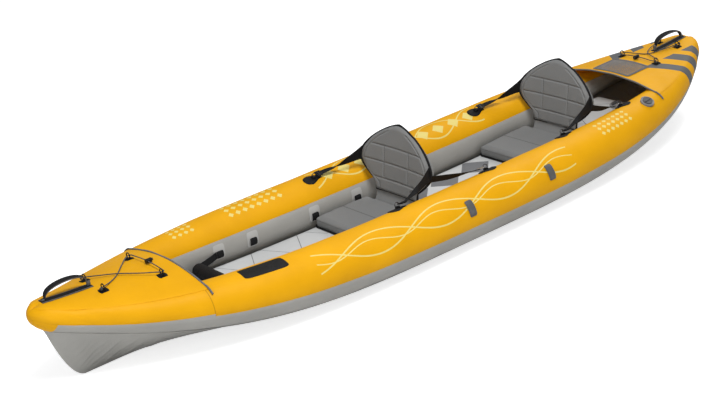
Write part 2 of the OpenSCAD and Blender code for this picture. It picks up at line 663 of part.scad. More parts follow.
// Black binding round the sides and top of a backrest
binding_r = 5;
binding_top = 2;
function back_outline() = concat(
  [for (v = back_rows) [1, v]],
  [for (k = [1:binding_top - 1]) [1 - 2 * k / binding_top, 1]],
  [for (k = [len(back_rows) - 1:-1:0]) [-1, back_rows[k]]]);
function outline_yz(q) = [q[0] * back_half(q[1]), back_start + back_len * q[1]];
function outward(d) = [d[1], -d[0]];
function mitre(p, k, off) = let (last = len(p) - 1,
    d0 = unit(p[max(k, 1)] - p[max(k, 1) - 1]), d1 = unit(p[min(k + 1, last)] - p[min(k + 1, last) - 1]),
    n = outward(unit(d0 + d1))) n * off / (n * outward(d1));
module binding(fx) {
  q = back_outline();
  flat = [for (p = q) outline_yz(p)];
  cord([for (k = [0:len(q) - 1]) let (p = flat[k] + mitre(flat, k, binding_r + seat_gap))
    lean(fx, [back_front - back_t / 2 + back_depth(q[k][0], q[k][1]), p[0], p[1]])], binding_r, cord_sides);
}

module front_backrest() { color(mid_grey) backrest(fold_x[0]); }
module rear_backrest() { color(mid_grey) backrest(fold_x[1]); }
module front_backrest_binding() { color(black) binding(fold_x[0]); }
module rear_backrest_binding() { color(black) binding(fold_x[1]); }

// Seat straps and their hardware: front pads ahead of each backrest, back pads behind it
front_pad_dx = 235;
back_pad_dx = [-300, -190];
pad_tilt = -19;
pad_len = 90;
pad_half_a = 13;
pad_t = 4;
pad_up = 1;
loop_r = 12;
loop_wire = 2;
ring_z = pad_up + pad_t + loop_r + loop_wire + button_gap;
function front_pad_x(k) = fold_x[k] + front_pad_dx;
function back_pad_x(k) = fold_x[k] + back_pad_dx[k];
pad_xs = [for (k = [0, 1]) each [front_pad_x(k), back_pad_x(k)]];
module strap_pads() {
  color(black) both_sides() for (x = pad_xs)
    tube_patch(x - pad_len / 2, x + pad_len / 2, pad_tilt - pad_half_a, pad_tilt + pad_half_a, pad_up, pad_t);
}
module strap_rings() {
  color(steel) both_sides() for (x = pad_xs)
    on_tube(x, pad_tilt) translate([0, 0, ring_z]) rotate([90, 0, 0])
      rotate_extrude($fn = 32) translate([loop_r, 0]) circle(loop_wire, $fn = 16);
}
buckle_len = 30;
buckle_w = web_w + 8;
buckle_t = 6;
slot_len = 5;
slot_x = 8;
buckle_x = -loop_r - loop_wire - gap - buckle_len / 2;
module buckle() {
  difference() {
    translate([-buckle_len / 2, -buckle_w / 2, -buckle_t / 2]) cube([buckle_len, buckle_w, buckle_t]);
    for (x = [-slot_x, slot_x]) translate([x - slot_len / 2, -web_w / 2, -buckle_t]) cube([slot_len, web_w, 2 * buckle_t]);
  }
}
module strap_buckles() {
  color(black) both_sides() for (k = [0, 1])
    on_tube(front_pad_x(k), pad_tilt) translate([buckle_x, 0, ring_z]) buckle();
}

// Snap hook: local X points along the strap, local Z off the tube
hook_out = 11;
hook_in = 7;
hook_t = 4;
mouth = 35;
eye_x = 18;
eye_len = 12;
eye_slot = 5;
hook_reach = 4.5;
hook_x = loop_r + hook_reach;
eye_rim = 3;
gate_r = 1.5;
gate_y = 8.4;
gate_pivot = 4.4;
knuckle_r = 1.7;
module hook() {
  difference() {
    union() {
      translate([0, 0, -hook_t / 2]) cylinder(r = hook_out, h = hook_t, $fn = 48);
      translate([eye_x - eye_len / 2 - hook_t, -web_w / 2 - eye_rim, -hook_t / 2]) cube([eye_len + hook_t, web_w + 2 * eye_rim, hook_t]);
    }
    translate([0, 0, -hook_t]) cylinder(r = hook_in, h = 2 * hook_t, $fn = 48);
    translate([-hook_out * sin(mouth), 0, -hook_t]) cube([2 * hook_out * sin(mouth), 2 * hook_out, 2 * hook_t]);
    translate([eye_x, -web_w / 2, -hook_t]) cube([eye_slot, web_w, 2 * hook_t]);
  }
}
module gate() {
  free_end = hook_out * sin(mouth) - cap_gap;
  translate([-free_end, gate_y, 0]) rotate([0, 90, 0]) cylinder(r = gate_r, h = free_end + gate_pivot, $fn = 24);
  translate([gate_pivot, gate_y, -knuckle_r]) cylinder(r = knuckle_r, h = 2 * knuckle_r, $fn = 24);
}
module at_hook(k) {
  on_tube(back_pad_x(k), pad_tilt) translate([hook_x, 0, ring_z]) children();
}
module snap_hooks() { color(steel) both_sides() for (k = [0, 1]) at_hook(k) hook(); }
module front_port_gate() { color(steel) at_hook(0) gate(); }
module front_starboard_gate() { color(steel) mirror([0, 1, 0]) at_hook(0) gate(); }
module rear_port_gate() { color(steel) at_hook(1) gate(); }
module rear_starboard_gate() { color(steel) mirror([0, 1, 0]) at_hook(1) gate(); }

// Webbing from the buckles and hooks to the sides of the backrests
web_t = 2.5;
front_strap_v = 0.485;
back_strap_v = 0.41;
strap_off = 2 * binding_r + seat_gap + 4;
buckle_gap = 1.1;
hook_gap = [0.7, 2.2];
web_flat = [0, 1, 0.35];
web_up = [-0.17, 0, 1];
function strap_root(k, v) = back_pt(fold_x[k], 1, v, 0) + [0, strap_off, 0];
module seat_straps(k) {
  front = on_tube_pt(front_pad_x(k), pad_tilt, [buckle_x - buckle_len / 2 - buckle_gap, 0, ring_z]);
  back = on_tube_pt(back_pad_x(k), pad_tilt, [hook_x + eye_x + eye_len / 2 + hook_gap[k], 0, ring_z]);
  both_sides() {
    ribbon(front, strap_root(k, front_strap_v), web_flat, web_up, web_w, web_t);
    ribbon(back, strap_root(k, back_strap_v), web_flat, -web_up, web_w, web_t);
  }
}
module front_seat_straps() { color(black) seat_straps(0); }
module rear_seat_straps() { color(black) seat_straps(1); }

port_air_tube();
starboard_air_tube();
port_upper_cover();
port_lower_cover();
starboard_upper_cover();
starboard_lower_cover();
floor_panel();
bottom_skin();
bow_form();
stern_form();
bow_deck();
stern_deck();
bow_deck_trim();
stern_deck_trim();
mesh_pocket();
bow_deck_rings();
stern_deck_rings();
bow_bungee();
stern_bungee();
bow_cord_lock();
stern_cord_lock();
bow_lock_button();
stern_lock_button();
bow_handle_base();
stern_handle_base();
bow_handle();
stern_handle();
port_valve_body();
starboard_valve_body();
floor_valve_body();
port_valve_cap();
starboard_valve_cap();
floor_valve_cap();
port_valve_plunger();
starboard_valve_plunger();
floor_valve_plunger();
side_tabs();
bare_patch();
wall_patches();
wall_tabs();
foot_bar();
foot_straps();
front_seat_base();
rear_seat_base();
front_backrest();
rear_backrest();
front_backrest_binding();
rear_backrest_binding();
strap_pads();
strap_rings();
strap_buckles();
front_seat_straps();
rear_seat_straps();
snap_hooks();
front_port_gate();
front_starboard_gate();
rear_port_gate();
rear_starboard_gate();
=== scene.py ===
"""Looks of an inflatable tandem kayak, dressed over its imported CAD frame.

Metres throughout: +X is the bow, +Y is port, +Z is up, and the ground is at Z = 0.
"""

import logging
import math
from dataclasses import dataclass, field
from enum import Enum
from typing import Callable, Sequence

import bpy
import numpy as np
from mathutils import Matrix, Vector


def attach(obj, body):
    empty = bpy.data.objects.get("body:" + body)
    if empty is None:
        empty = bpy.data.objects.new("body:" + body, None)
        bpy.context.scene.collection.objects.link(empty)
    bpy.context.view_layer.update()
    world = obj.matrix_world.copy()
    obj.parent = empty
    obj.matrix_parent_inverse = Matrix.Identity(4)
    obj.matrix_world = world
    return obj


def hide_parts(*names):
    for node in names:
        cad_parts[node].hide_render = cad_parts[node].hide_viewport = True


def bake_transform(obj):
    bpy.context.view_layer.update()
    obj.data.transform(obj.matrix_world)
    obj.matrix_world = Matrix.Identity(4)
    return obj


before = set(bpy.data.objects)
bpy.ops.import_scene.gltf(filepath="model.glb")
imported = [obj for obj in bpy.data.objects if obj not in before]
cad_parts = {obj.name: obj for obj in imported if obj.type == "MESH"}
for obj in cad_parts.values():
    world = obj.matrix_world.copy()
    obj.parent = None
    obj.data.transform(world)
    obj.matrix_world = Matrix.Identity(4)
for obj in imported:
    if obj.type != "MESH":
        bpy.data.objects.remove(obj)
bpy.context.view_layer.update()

LOG = logging.getLogger("kayak")
MM = 0.001
CUT_STEPS = 60
Piece = bpy.types.Object
Socket = bpy.types.NodeSocket
Material = bpy.types.Material
RGBA = tuple[float, float, float, float]
Place = Callable[[float, float], Vector]
Edges = Callable[[float], tuple[Vector, Vector]]


class Named(Enum):
    """A choice whose name is a part of the pieces' names."""

    @property
    def label(self) -> str:
        """The choice's name as the pieces use it."""
        return self.name.lower()


class Side(Named):
    """The two sides of the hull, with the sign of Y."""

    PORT = 1
    STARBOARD = -1


class End(Named):
    """The two ends of the hull, with the sign of X."""

    BOW = 1
    STERN = -1


class Row(Named):
    """The two seats, with their place in the lists of sizes."""

    FRONT = 0
    REAR = 1


def smooth_run(points: Sequence[Sequence[float]], steps: int) -> list[Vector]:
    """Runs a smooth line through chosen points.

    Args:
        points: places that the line passes through.
        steps: how many stretches are put between two of them.

    Returns:
        The line's points.
    """
    p = [Vector(q) for q in points]
    last = len(p) - 1
    run = []
    for k in range(last):
        a, b, c, d = p[max(k - 1, 0)], p[k], p[k + 1], p[min(k + 2, last)]
        for s in range(steps):
            t = s / steps
            run.append(0.5 * (2 * b + (c - a) * t + (2 * a - 5 * b + 4 * c - d) * t * t
                              + (3 * b - a - 3 * c + d) * t ** 3))
    return run + [p[last]]


def run_length(points: Sequence[Vector]) -> float:
    """Returns the length of a line of points."""
    return sum((b - a).length for a, b in zip(points, points[1:]))


def across(point: Vector) -> Vector:
    """Returns the same place on the other side of the hull."""
    return Vector((point.x, -point.y, point.z))


def bell(distance: float, width: float) -> float:
    """Returns 1 at no distance, falling smoothly to 0 past a few widths."""
    return math.exp(-(distance / width) ** 2)


def ease(value: float, low: float, high: float) -> float:
    """Returns 0 below low and 1 above high, with a smooth rise between them."""
    t = min(1.0, max(0.0, (value - low) / (high - low)))
    return t * t * (3 - 2 * t)


@dataclass(frozen=True)
class HullLines:
    """The hull's lines, the same as the CAD source's, in metres and degrees."""

    half_len: float = 2.0
    half_spread: float = 0.350
    tube_r: float = 0.131
    nose_r: float = 0.055
    nose_len: float = 0.070
    tube_h: float = 0.154
    end_rise: float = 0.178
    bow_fullness: float = 3.6
    stern_fullness: float = 4.6
    taper_start: float = 4.0
    taper_end: float = 2.3
    least_y: float = 0.0005
    seam_in: float = 68.0
    seam_out: float = 101.0
    cross_seam: float = 1.362
    floor_drop: float = 0.0594
    floor_wall_gap: float = 0.003
    deck_edge: float = 1.350
    deck_end: float = 1.960
    deck_crown: float = 0.036
    deck_over: float = 0.0039
    deck_off: float = 0.0014
    deck_free: float = 0.86
    deck_hem: float = 13.0
    stem_x: float = 1.800
    stem_curve: float = 12.2
    skin_end: float = 1.930
    skin_off: float = 0.0030
    skin_free: float = 0.82
    skin_leave: float = 176.0
    skin_hem: float = 20.0
    keel_gap: float = 0.001
    flat_power: float = 7.0
    vee_from: float = 0.95

    def share(self, x: float) -> float:
        """Returns how far x is from mid length, as a share of the half length."""
        return min(1.0, abs(x) / self.half_len)

    def fullness(self, x: float) -> float:
        """Returns the power of the plan's curve at the end that x is nearer to."""
        return self.stern_fullness if x < 0 else self.bow_fullness

    def centre(self, x: float) -> float:
        """Returns the half breadth to the tube's centre."""
        return self.half_spread * (1 - self.share(x) ** self.fullness(x))

    def radius(self, x: float) -> float:
        """Finds the outside radius of a covered tube, closed at the nose.

        Args:
            x: place along the hull.

        Returns:
            The radius.
        """
        u = max(0.0, (abs(x) - self.half_len + self.nose_len) / self.nose_len)
        swell = (1 - self.share(x) ** self.taper_start) ** self.taper_end
        return (self.nose_r + (self.tube_r - self.nose_r) * swell) * math.sqrt(max(0.0, 1 - u * u))

    def height(self, x: float) -> float:
        """Returns the height of the tube's centre."""
        return self.tube_h + self.end_rise * self.share(x) ** 3

    def tube(self, x: float, angle: float, up: float = 0.0) -> Vector:
        """Finds a point on the port tube.

        Args:
            x: place along the hull.
            angle: degrees from the top, positive outwards.
            up: distance off the cover.

        Returns:
            The point.
        """
        a, r = math.radians(angle), self.radius(x) + up
        y = max(self.least_y, self.centre(x) + r * math.sin(a))
        return Vector((x, y, self.height(x) + r * math.cos(a)))

    def local(self, x: float, angle: float, q: Sequence[float]) -> Vector:
        """Finds a point given in the frame of a fitting on the port tube.

        Args:
            x: place of the fitting along the hull.
            angle: degrees from the top, positive outwards.
            q: the point, with X forward along the tube and Z off it.

        Returns:
            The point in the hull's frame.
        """
        s, n = (x > 0) - (x < 0), self.fullness(x)
        yaw = -s * math.atan(self.half_spread * n * self.share(x) ** (n - 1) / self.half_len)
        pitch = -s * math.atan(self.end_rise * 3 * self.share(x) ** 2 / self.half_len)
        turn = (Matrix.Rotation(yaw, 3, "Z") @ Matrix.Rotation(pitch, 3, "Y")
                @ Matrix.Rotation(math.radians(-angle), 3, "X"))
        off = turn @ (Vector(q) + Vector((0, 0, self.radius(x))))
        return Vector((x, self.centre(x), self.height(x))) + off

    def floor_top(self, x: float) -> float:
        """Returns the height of the floor's top."""
        return self.height(x) - self.floor_drop

    def floor_half(self, x: float) -> float:
        """Returns the floor's half width."""
        reach = math.sqrt(self.radius(x) ** 2 - self.floor_drop ** 2)
        return self.centre(x) - reach - self.floor_wall_gap

    def deck_top(self, x: float, y: float) -> float:
        """Finds the height of the deck's top at a place.

        Args:
            x: place along the hull.
            y: place across.

        Returns:
            The height.
        """
        along = (abs(x) - self.deck_edge) / (self.deck_end - self.deck_edge)
        bulge = self.deck_crown * (1 - along ** 2)
        return self.height(x) + self.radius(x) + self.deck_over + bulge * (1 - (y / self.centre(x)) ** 2)

    def deck(self, x: float, t: float, up: float = 0.0) -> Vector:
        """Finds a point on the deck fabric, which runs over both tubes.

        Args:
            x: place along the hull.
            t: from -1 at the starboard hem to 1 at the port hem.
            up: distance off the fabric.

        Returns:
            The point.
        """
        c, h, r = self.centre(x), self.height(x), self.radius(x) + self.deck_off
        top = self.deck_top(x, 0.0)
        a = 0.1
        for _ in range(12):
            a = math.atan(2 * (top - h - r * math.cos(a)) / (c + r * math.sin(a)))
        free = self.deck_free
        if abs(t) <= free:
            q = abs(t) / free
            y = q * (c + r * math.sin(a))
            z = top - (top - h - r * math.cos(a)) * q * q + up
        else:
            b = a + math.radians(self.deck_hem) * (abs(t) - free) / (1 - free)
            y, z = c + (r + up) * math.sin(b), h + (r + up) * math.cos(b)
        return Vector((x, math.copysign(y, t), z))

    def keel(self, x: float) -> float:
        """Returns the height of the keel line."""
        return self.stem_curve * max(0.0, abs(x) - self.stem_x) ** 2

    def skin(self, x: float, s: float) -> Vector:
        """Finds a point on the bottom skin, which runs up onto the outside of both tubes.

        Args:
            x: place along the hull.
            s: from -1 at the starboard hem to 1 at the port hem.

        Returns:
            The point.
        """
        c, h, r, k = self.centre(x), self.height(x), self.radius(x) + self.skin_off, self.keel(x)
        power = 1.0 + self.flat_power * max(0.0, 1 - self.share(x) / self.vee_from) ** 2
        free, leave, least = self.skin_free, math.radians(self.skin_leave), k + self.keel_gap
        if abs(s) <= free:
            q = abs(s) / free
            side = max(least, h + r * math.cos(leave))
            y, z = q * (c + r * math.sin(leave)), k + (side - k) * q ** power
        else:
            b = leave - math.radians(self.skin_hem) * (abs(s) - free) / (1 - free)
            y, z = c + r * math.sin(b), max(least, h + r * math.cos(b))
        return Vector((x, math.copysign(y, s), z))


LINES = HullLines()


class Bench:
    """The modelling steps that every piece shares."""

    @staticmethod
    def clear() -> None:
        """Leaves edit mode and deselects everything."""
        if bpy.context.mode != "OBJECT":
            bpy.ops.object.mode_set(mode="OBJECT")
        bpy.ops.object.select_all(action="DESELECT")

    @staticmethod
    def pick(obj: Piece) -> None:
        """Makes one object the only one selected, and active.

        Args:
            obj: the object.
        """
        Bench.clear()
        obj.select_set(True)
        bpy.context.view_layer.objects.active = obj

    @staticmethod
    def edit(obj: Piece, *steps: Callable[[], object]) -> None:
        """Runs edit-mode steps on the whole of a mesh.

        Args:
            obj: the object.
            steps: the steps, in order.
        """
        Bench.pick(obj)
        bpy.ops.object.mode_set(mode="EDIT")
        bpy.ops.mesh.select_all(action="SELECT")
        for step in steps:
            step()
        bpy.ops.object.mode_set(mode="OBJECT")

    @staticmethod
    def modify(obj: Piece, kind: str, **settings: object) -> None:
        """Adds a modifier with its settings and applies it.

        Args:
            obj: the object.
            kind: the modifier's type.
            settings: its settings by name.
        """
        Bench.pick(obj)
        bpy.ops.object.modifier_add(type=kind)
        made = obj.modifiers[-1]
        for key, value in settings.items():
            setattr(made, key, value)
        bpy.ops.object.modifier_apply(modifier=made.name)

    @staticmethod
    def points(obj: Piece) -> np.ndarray:
        """Reads a mesh's points.

        Args:
            obj: the object.

        Returns:
            Rows of X, Y and Z.
        """
        flat = np.empty(len(obj.data.vertices) * 3)
        obj.data.vertices.foreach_get("co", flat)
        return flat.reshape(-1, 3)

    @staticmethod
    def set_points(obj: Piece, points: np.ndarray) -> None:
        """Puts a mesh's points at new places."""
        obj.data.vertices.foreach_set("co", np.ascontiguousarray(points, dtype=np.float64).ravel())
        obj.data.update()

    @staticmethod
    def sheet(name: str, cols: int, rows: int, place: Place,
              uv: Callable[[float, float], tuple[float, float]] = lambda u, v: (u, v),
              flip: bool = False, wrap: bool = False) -> Piece:
        """Adds a grid and shapes it by moving its points.

        Args:
            name: the piece's name.
            cols: stretches along the first direction.
            rows: stretches along the second direction.
            place: where the point at two shares from 0 to 1 goes.
            uv: the texture place of that point.
            flip: turn the faces round.
            wrap: join points that come to lie on each other.

        Returns:
            The new object.
        """
        Bench.clear()
        bpy.ops.mesh.primitive_grid_add(x_subdivisions=cols, y_subdivisions=rows, size=2.0, calc_uvs=True)
        obj = bpy.context.active_object
        obj.name = obj.data.name = name
        shares = np.clip(Bench.points(obj)[:, :2] * 0.5 + 0.5, 0.0, 1.0).tolist()
        Bench.set_points(obj, np.array([tuple(place(u, v)) for u, v in shares]))
        marks = np.array([uv(u, v) for u, v in shares], dtype=np.float32)
        loops = np.empty(len(obj.data.loops), dtype=np.int32)
        obj.data.loops.foreach_get("vertex_index", loops)
        obj.data.uv_layers.active.data.foreach_set("uv", marks[loops].ravel())
        steps = []
        if wrap:
            steps.append(lambda: bpy.ops.mesh.remove_doubles(threshold=2e-6))
        if flip:
            steps.append(bpy.ops.mesh.flip_normals)
        if steps:
            Bench.edit(obj, *steps)
        return obj

    @staticmethod
    def cut(obj: Piece, place: Place) -> dict[str, object]:
        """Measures the cloth that a sheet is cut from, before it has a wall.

        Args:
            obj: the sheet.
            place: where the point at two shares from 0 to 1 goes.

        Returns:
            The cloth's greatest width and length, and its area.
        """
        shares = [k / CUT_STEPS for k in range(CUT_STEPS + 1)]
        width = max(run_length([place(u, v) for v in shares]) for u in shares)
        length = max(run_length([place(u, v) for u in shares]) for v in shares)
        return {"flat": (width, length), "area": sum(f.area for f in obj.data.polygons)}

    @staticmethod
    def thicken(obj: Piece, thickness: float, offset: float = -1.0) -> Piece:
        """Gives a sheet a wall, inwards unless told otherwise."""
        Bench.modify(obj, "SOLIDIFY", thickness=thickness, offset=offset, use_even_offset=False)
        return obj

    @staticmethod
    def seal(obj: Piece) -> Piece:
        """Fills the open ends of a shell and points its faces outwards."""
        Bench.edit(obj, lambda: bpy.ops.mesh.fill_holes(sides=0),
                   lambda: bpy.ops.mesh.normals_make_consistent(inside=False))
        return obj

    @staticmethod
    def rod(name: str, path: Sequence[Vector], radius: Callable[[float], float], sides: int = 12) -> Piece:
        """Makes a round rod along a line.

        Args:
            name: the piece's name.
            path: the line's points.
            radius: the radius at a share from 0 to 1 along the line.
            sides: how many sides the rod has.

        Returns:
            The closed rod.
        """
        line = [Vector(p) for p in path]
        last = len(line) - 1
        heads = [(line[min(k + 1, last)] - line[max(k - 1, 0)]).normalized() for k in range(last + 1)]
        outs = [heads[0].orthogonal().normalized()]
        for d in heads[1:]:
            outs.append((outs[-1] - d * outs[-1].dot(d)).normalized())
        length, girth = run_length(line), 2 * math.pi * radius(0.5)

        def place(u: float, v: float) -> Vector:
            """Finds a point on the rod's skin."""
            k = round(u * last)
            a = 2 * math.pi * v
            return line[k] + radius(k / last) * (math.cos(a) * outs[k] + math.sin(a) * heads[k].cross(outs[k]))

        return Bench.seal(Bench.sheet(name, last, sides, place, lambda u, v: (u * length, v * girth), wrap=True))

    @staticmethod
    def ribbon(name: str, rows_at: Edges, cols: int, thickness: float, crown: float = 0.0,
               rows: int = 4) -> Piece:
        """Makes a flat ribbon between two edge lines.

        Args:
            name: the piece's name.
            rows_at: the two edge points at a share from 0 to 1 along the ribbon.
            cols: stretches along the ribbon.
            thickness: the webbing's thickness.
            crown: how far the middle stands off the straight line between the edges.
            rows: stretches across the ribbon.

        Returns:
            The ribbon.
        """
        ends = [rows_at(k / cols) for k in range(cols + 1)]
        mids = [(a + b) / 2 for a, b in ends]
        length = run_length(mids)
        width = sum((b - a).length for a, b in ends) / (cols + 1)

        def place(u: float, v: float) -> Vector:
            """Finds a point on the ribbon."""
            k = round(u * cols)
            a, b = ends[k]
            along = mids[min(k + 1, cols)] - mids[max(k - 1, 0)]
            return a.lerp(b, v) + along.cross(b - a).normalized() * crown * (1 - (2 * v - 1) ** 2)

        obj = Bench.sheet(name, cols, rows, place, lambda u, v: (u * length, (v - 0.5) * width))
        return Bench.smooth(Bench.thicken(obj, thickness, 0.0), 45)

    @staticmethod
    def smooth(obj: Piece, angle: float) -> Piece:
        """Shades an object smooth where its faces meet under an angle.

        Args:
            obj: the object.
            angle: the angle in degrees.

        Returns:
            The object.
        """
        Bench.pick(obj)
        bpy.ops.object.shade_smooth_by_angle(angle=math.radians(angle))
        return obj

    @staticmethod
    def join(name: str, parts: Sequence[Piece]) -> Piece:
        """Joins several new meshes into one piece.

        Args:
            name: the piece's name.
            parts: the meshes, of which the first is kept.

        Returns:
            The piece.
        """
        Bench.clear()
        for p in parts:
            p.select_set(True)
        bpy.context.view_layer.objects.active = parts[0]
        bpy.ops.object.join()
        parts[0].name = parts[0].data.name = name
        return parts[0]

    @staticmethod
    def pair(port: Piece) -> list[tuple[Side, Piece]]:
        """Copies a port piece to starboard with its own mesh.

        Args:
            port: the port piece.

        Returns:
            Both pieces with their sides.
        """
        Bench.pick(port)
        bpy.ops.object.duplicate()
        twin = bpy.context.active_object
        twin.name = twin.data.name = port.name.replace("port", "starboard", 1)
        Bench.set_points(twin, Bench.points(twin) * np.array([1.0, -1.0, 1.0]))
        Bench.edit(twin, bpy.ops.mesh.flip_normals)
        return [(Side.PORT, port), (Side.STARBOARD, twin)]

    @staticmethod
    def dress(obj: Piece, finish: str, slot: str, *nodes: str, body: str = "hull") -> Piece:
        """Gives a piece its finish and its place in the frame.

        Args:
            obj: the piece.
            finish: the finish's name.
            slot: not used.
            nodes: the CAD nodes that it stands for.
            body: the body that it moves with, or nothing to leave it unattached.

        Returns:
            The piece.
        """
        obj.data.materials.clear()
        obj.data.materials.append(Finishes.built[finish])
        if body:
            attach(obj, body)
        if nodes:
            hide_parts(*nodes)
        LOG.info("piece %s on %s", obj.name, body or "two bodies")
        return obj

    @staticmethod
    def tie(port: Piece, node: str, body: str, start: Vector, end: Vector) -> None:
        """Copies a port strap to starboard and gives both the black webbing, tied to no single body.

        Args:
            port: the port strap.
            node: the CAD node that the pair stands for.
            body: not used.
            start: the port strap's end on the hull.
            end: the port strap's end on the body.
        """
        for side, obj in Bench.pair(port):
            Bench.dress(obj, "black_webbing", "black_webbing", node, body="")
            ends = (start, end) if side is Side.PORT else (across(start), across(end))
            tuple(ends[0])
            tuple(ends[1])
            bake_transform(obj)


class Shader:
    """Builds a material's nodes in short calls."""

    def __init__(self, name: str) -> None:
        """Starts a material with the plain surface shader.

        Args:
            name: the material's name.
        """
        self.material = bpy.data.materials.new(name)
        self.material.use_nodes = True
        self.tree = self.material.node_tree
        self.surface = self.tree.nodes["Principled BSDF"]
        self.spot = self.tree.nodes.new("ShaderNodeTexCoord")

    def put(self, place: Socket, value: object) -> None:
        """Links an input to a socket, or gives it a number or colour.

        Args:
            place: the input.
            value: the socket, number or colour.
        """
        if isinstance(value, Socket):
            self.tree.links.new(value, place)
        else:
            place.default_value = value

    def add(self, kind: str, values: dict, out: str | int = 0, **settings: object) -> Socket:
        """Adds a node.

        Args:
            kind: the node's type without its prefix.
            values: a number, colour or socket for each input, by name or place.
            out: the output to return.
            settings: the node's own settings.

        Returns:
            The output socket.
        """
        node = self.tree.nodes.new("ShaderNode" + kind)
        for key, value in settings.items():
            setattr(node, key, value)
        for key, value in values.items():
            self.put(node.inputs[key], value)
        return node.outputs[out]

    def math(self, operation: str, a: object, b: object = 0.0) -> Socket:
        """Adds a calculation and returns its result."""
        return self.add("Math", {0: a, 1: b}, operation=operation)

    def plus(self, a: object, b: object) -> Socket:
        """Returns a sum."""
        return self.math("ADD", a, b)

    def times(self, a: object, b: object) -> Socket:
        """Returns a product, which for two masks is where both hold."""
        return self.math("MULTIPLY", a, b)

    def apart(self, a: object, b: object) -> Socket:
        """Returns how far two values are apart."""
        return self.math("ABSOLUTE", self.math("SUBTRACT", a, b))

    def cell(self, value: object, length: float) -> Socket:
        """Returns how far a value is from the middle of its cell, in cells."""
        return self.apart(self.math("FRACT", self.math("DIVIDE", value, length)), 0.5)

    def most(self, masks: Sequence[Socket]) -> Socket:
        """Joins several values into the greatest, which for masks is where any holds.

        Args:
            masks: the values.

        Returns:
            The greatest value.
        """
        total = masks[0]
        for mask in masks[1:]:
            total = self.math("MAXIMUM", total, mask)
        return total

    def within(self, value: object, low: float, high: float) -> Socket:
        """Returns 1 where a value lies between two limits."""
        return self.times(self.math("GREATER_THAN", value, low), self.math("LESS_THAN", value, high))

    def mix(self, share: object, a: object, b: object) -> Socket:
        """Mixes two colours and returns the result."""
        return self.add("Mix", {0: share, 6: a, 7: b}, 2, data_type="RGBA")

    def noise(self, scale: float, detail: float = 3.0) -> Socket:
        """Adds a cloudy pattern and returns its strength."""
        return self.add("TexNoise", {"Vector": self.spot.outputs["Object"], "Scale": scale, "Detail": detail,
                                     "Roughness": 0.5})

    def wave(self, value: object, length: float) -> Socket:
        """Turns a place in metres into a wave from -1 to 1 of one length."""
        return self.math("SINE", self.times(value, 2 * math.pi / length))

    def split(self, name: str) -> list[Socket]:
        """Parts a texture place into its directions.

        Args:
            name: the kind of texture place.

        Returns:
            Its X, Y and Z.
        """
        node = self.tree.nodes.new("ShaderNodeSeparateXYZ")
        self.tree.links.new(self.spot.outputs[name], node.inputs[0])
        return list(node.outputs)

    def ramp(self, value: object, low: float, high: float, a: float, b: float) -> Socket:
        """Carries a value from one range to another, held at the ends."""
        return self.add("MapRange", {0: value, 1: low, 2: high, 3: a, 4: b})

    def set(self, key: str, value: object) -> "Shader":
        """Sets one of the surface shader's inputs."""
        self.put(self.surface.inputs[key], value)
        return self

    def colour(self, value: object) -> "Shader":
        """Sets the surface's colour."""
        return self.set("Base Color", value)

    def bump(self, height: object, strength: float, distance: float) -> "Shader":
        """Raises the surface by a height pattern."""
        values = {"Strength": strength, "Distance": distance, "Height": height}
        return self.set("Normal", self.add("Bump", values))


def tint(red: float, green: float, blue: float) -> RGBA:
    """Returns a linear colour."""
    return (red, green, blue, 1.0)


YELLOW, YELLOW_SHADE = tint(0.83, 0.405, 0.0028), tint(0.76, 0.365, 0.002)
GREY, GREY_SHADE = tint(0.43, 0.422, 0.395), tint(0.385, 0.378, 0.355)


@dataclass(frozen=True)
class WaveLine:
    """A printed line that winds along a tube: its reach, its middle, its swing and its width."""

    start: float
    end: float
    middle: float
    swing: float
    length: float
    phase: float
    width: float

    def mask(self, s: Shader, u: Socket, v: Socket) -> Socket:
        """Builds the line's mask.

        Args:
            s: the material's shader.
            u: place along the tube.
            v: place round the tube.

        Returns:
            1 on the line, and 0 beside it.
        """
        turn = s.plus(s.times(u, 2 * math.pi / self.length), self.phase)
        away = s.apart(s.math("SUBTRACT", v, self.middle), s.times(s.math("SINE", turn), self.swing))
        return s.times(s.math("LESS_THAN", away, self.width / 2), s.within(u, self.start, self.end))


@dataclass(frozen=True)
class DiamondField:
    """A printed field of small diamonds: its reach along and around a tube, and its cell."""

    start: float
    end: float
    low: float
    high: float
    cell: float
    fill: float = 0.36

    def mask(self, s: Shader, u: Socket, v: Socket) -> Socket:
        """Returns 1 on the diamonds."""
        inside = s.math("LESS_THAN", s.plus(s.cell(u, self.cell), s.cell(v, self.cell)), self.fill)
        return s.times(inside, s.times(s.within(u, self.start, self.end), s.within(v, self.low, self.high)))


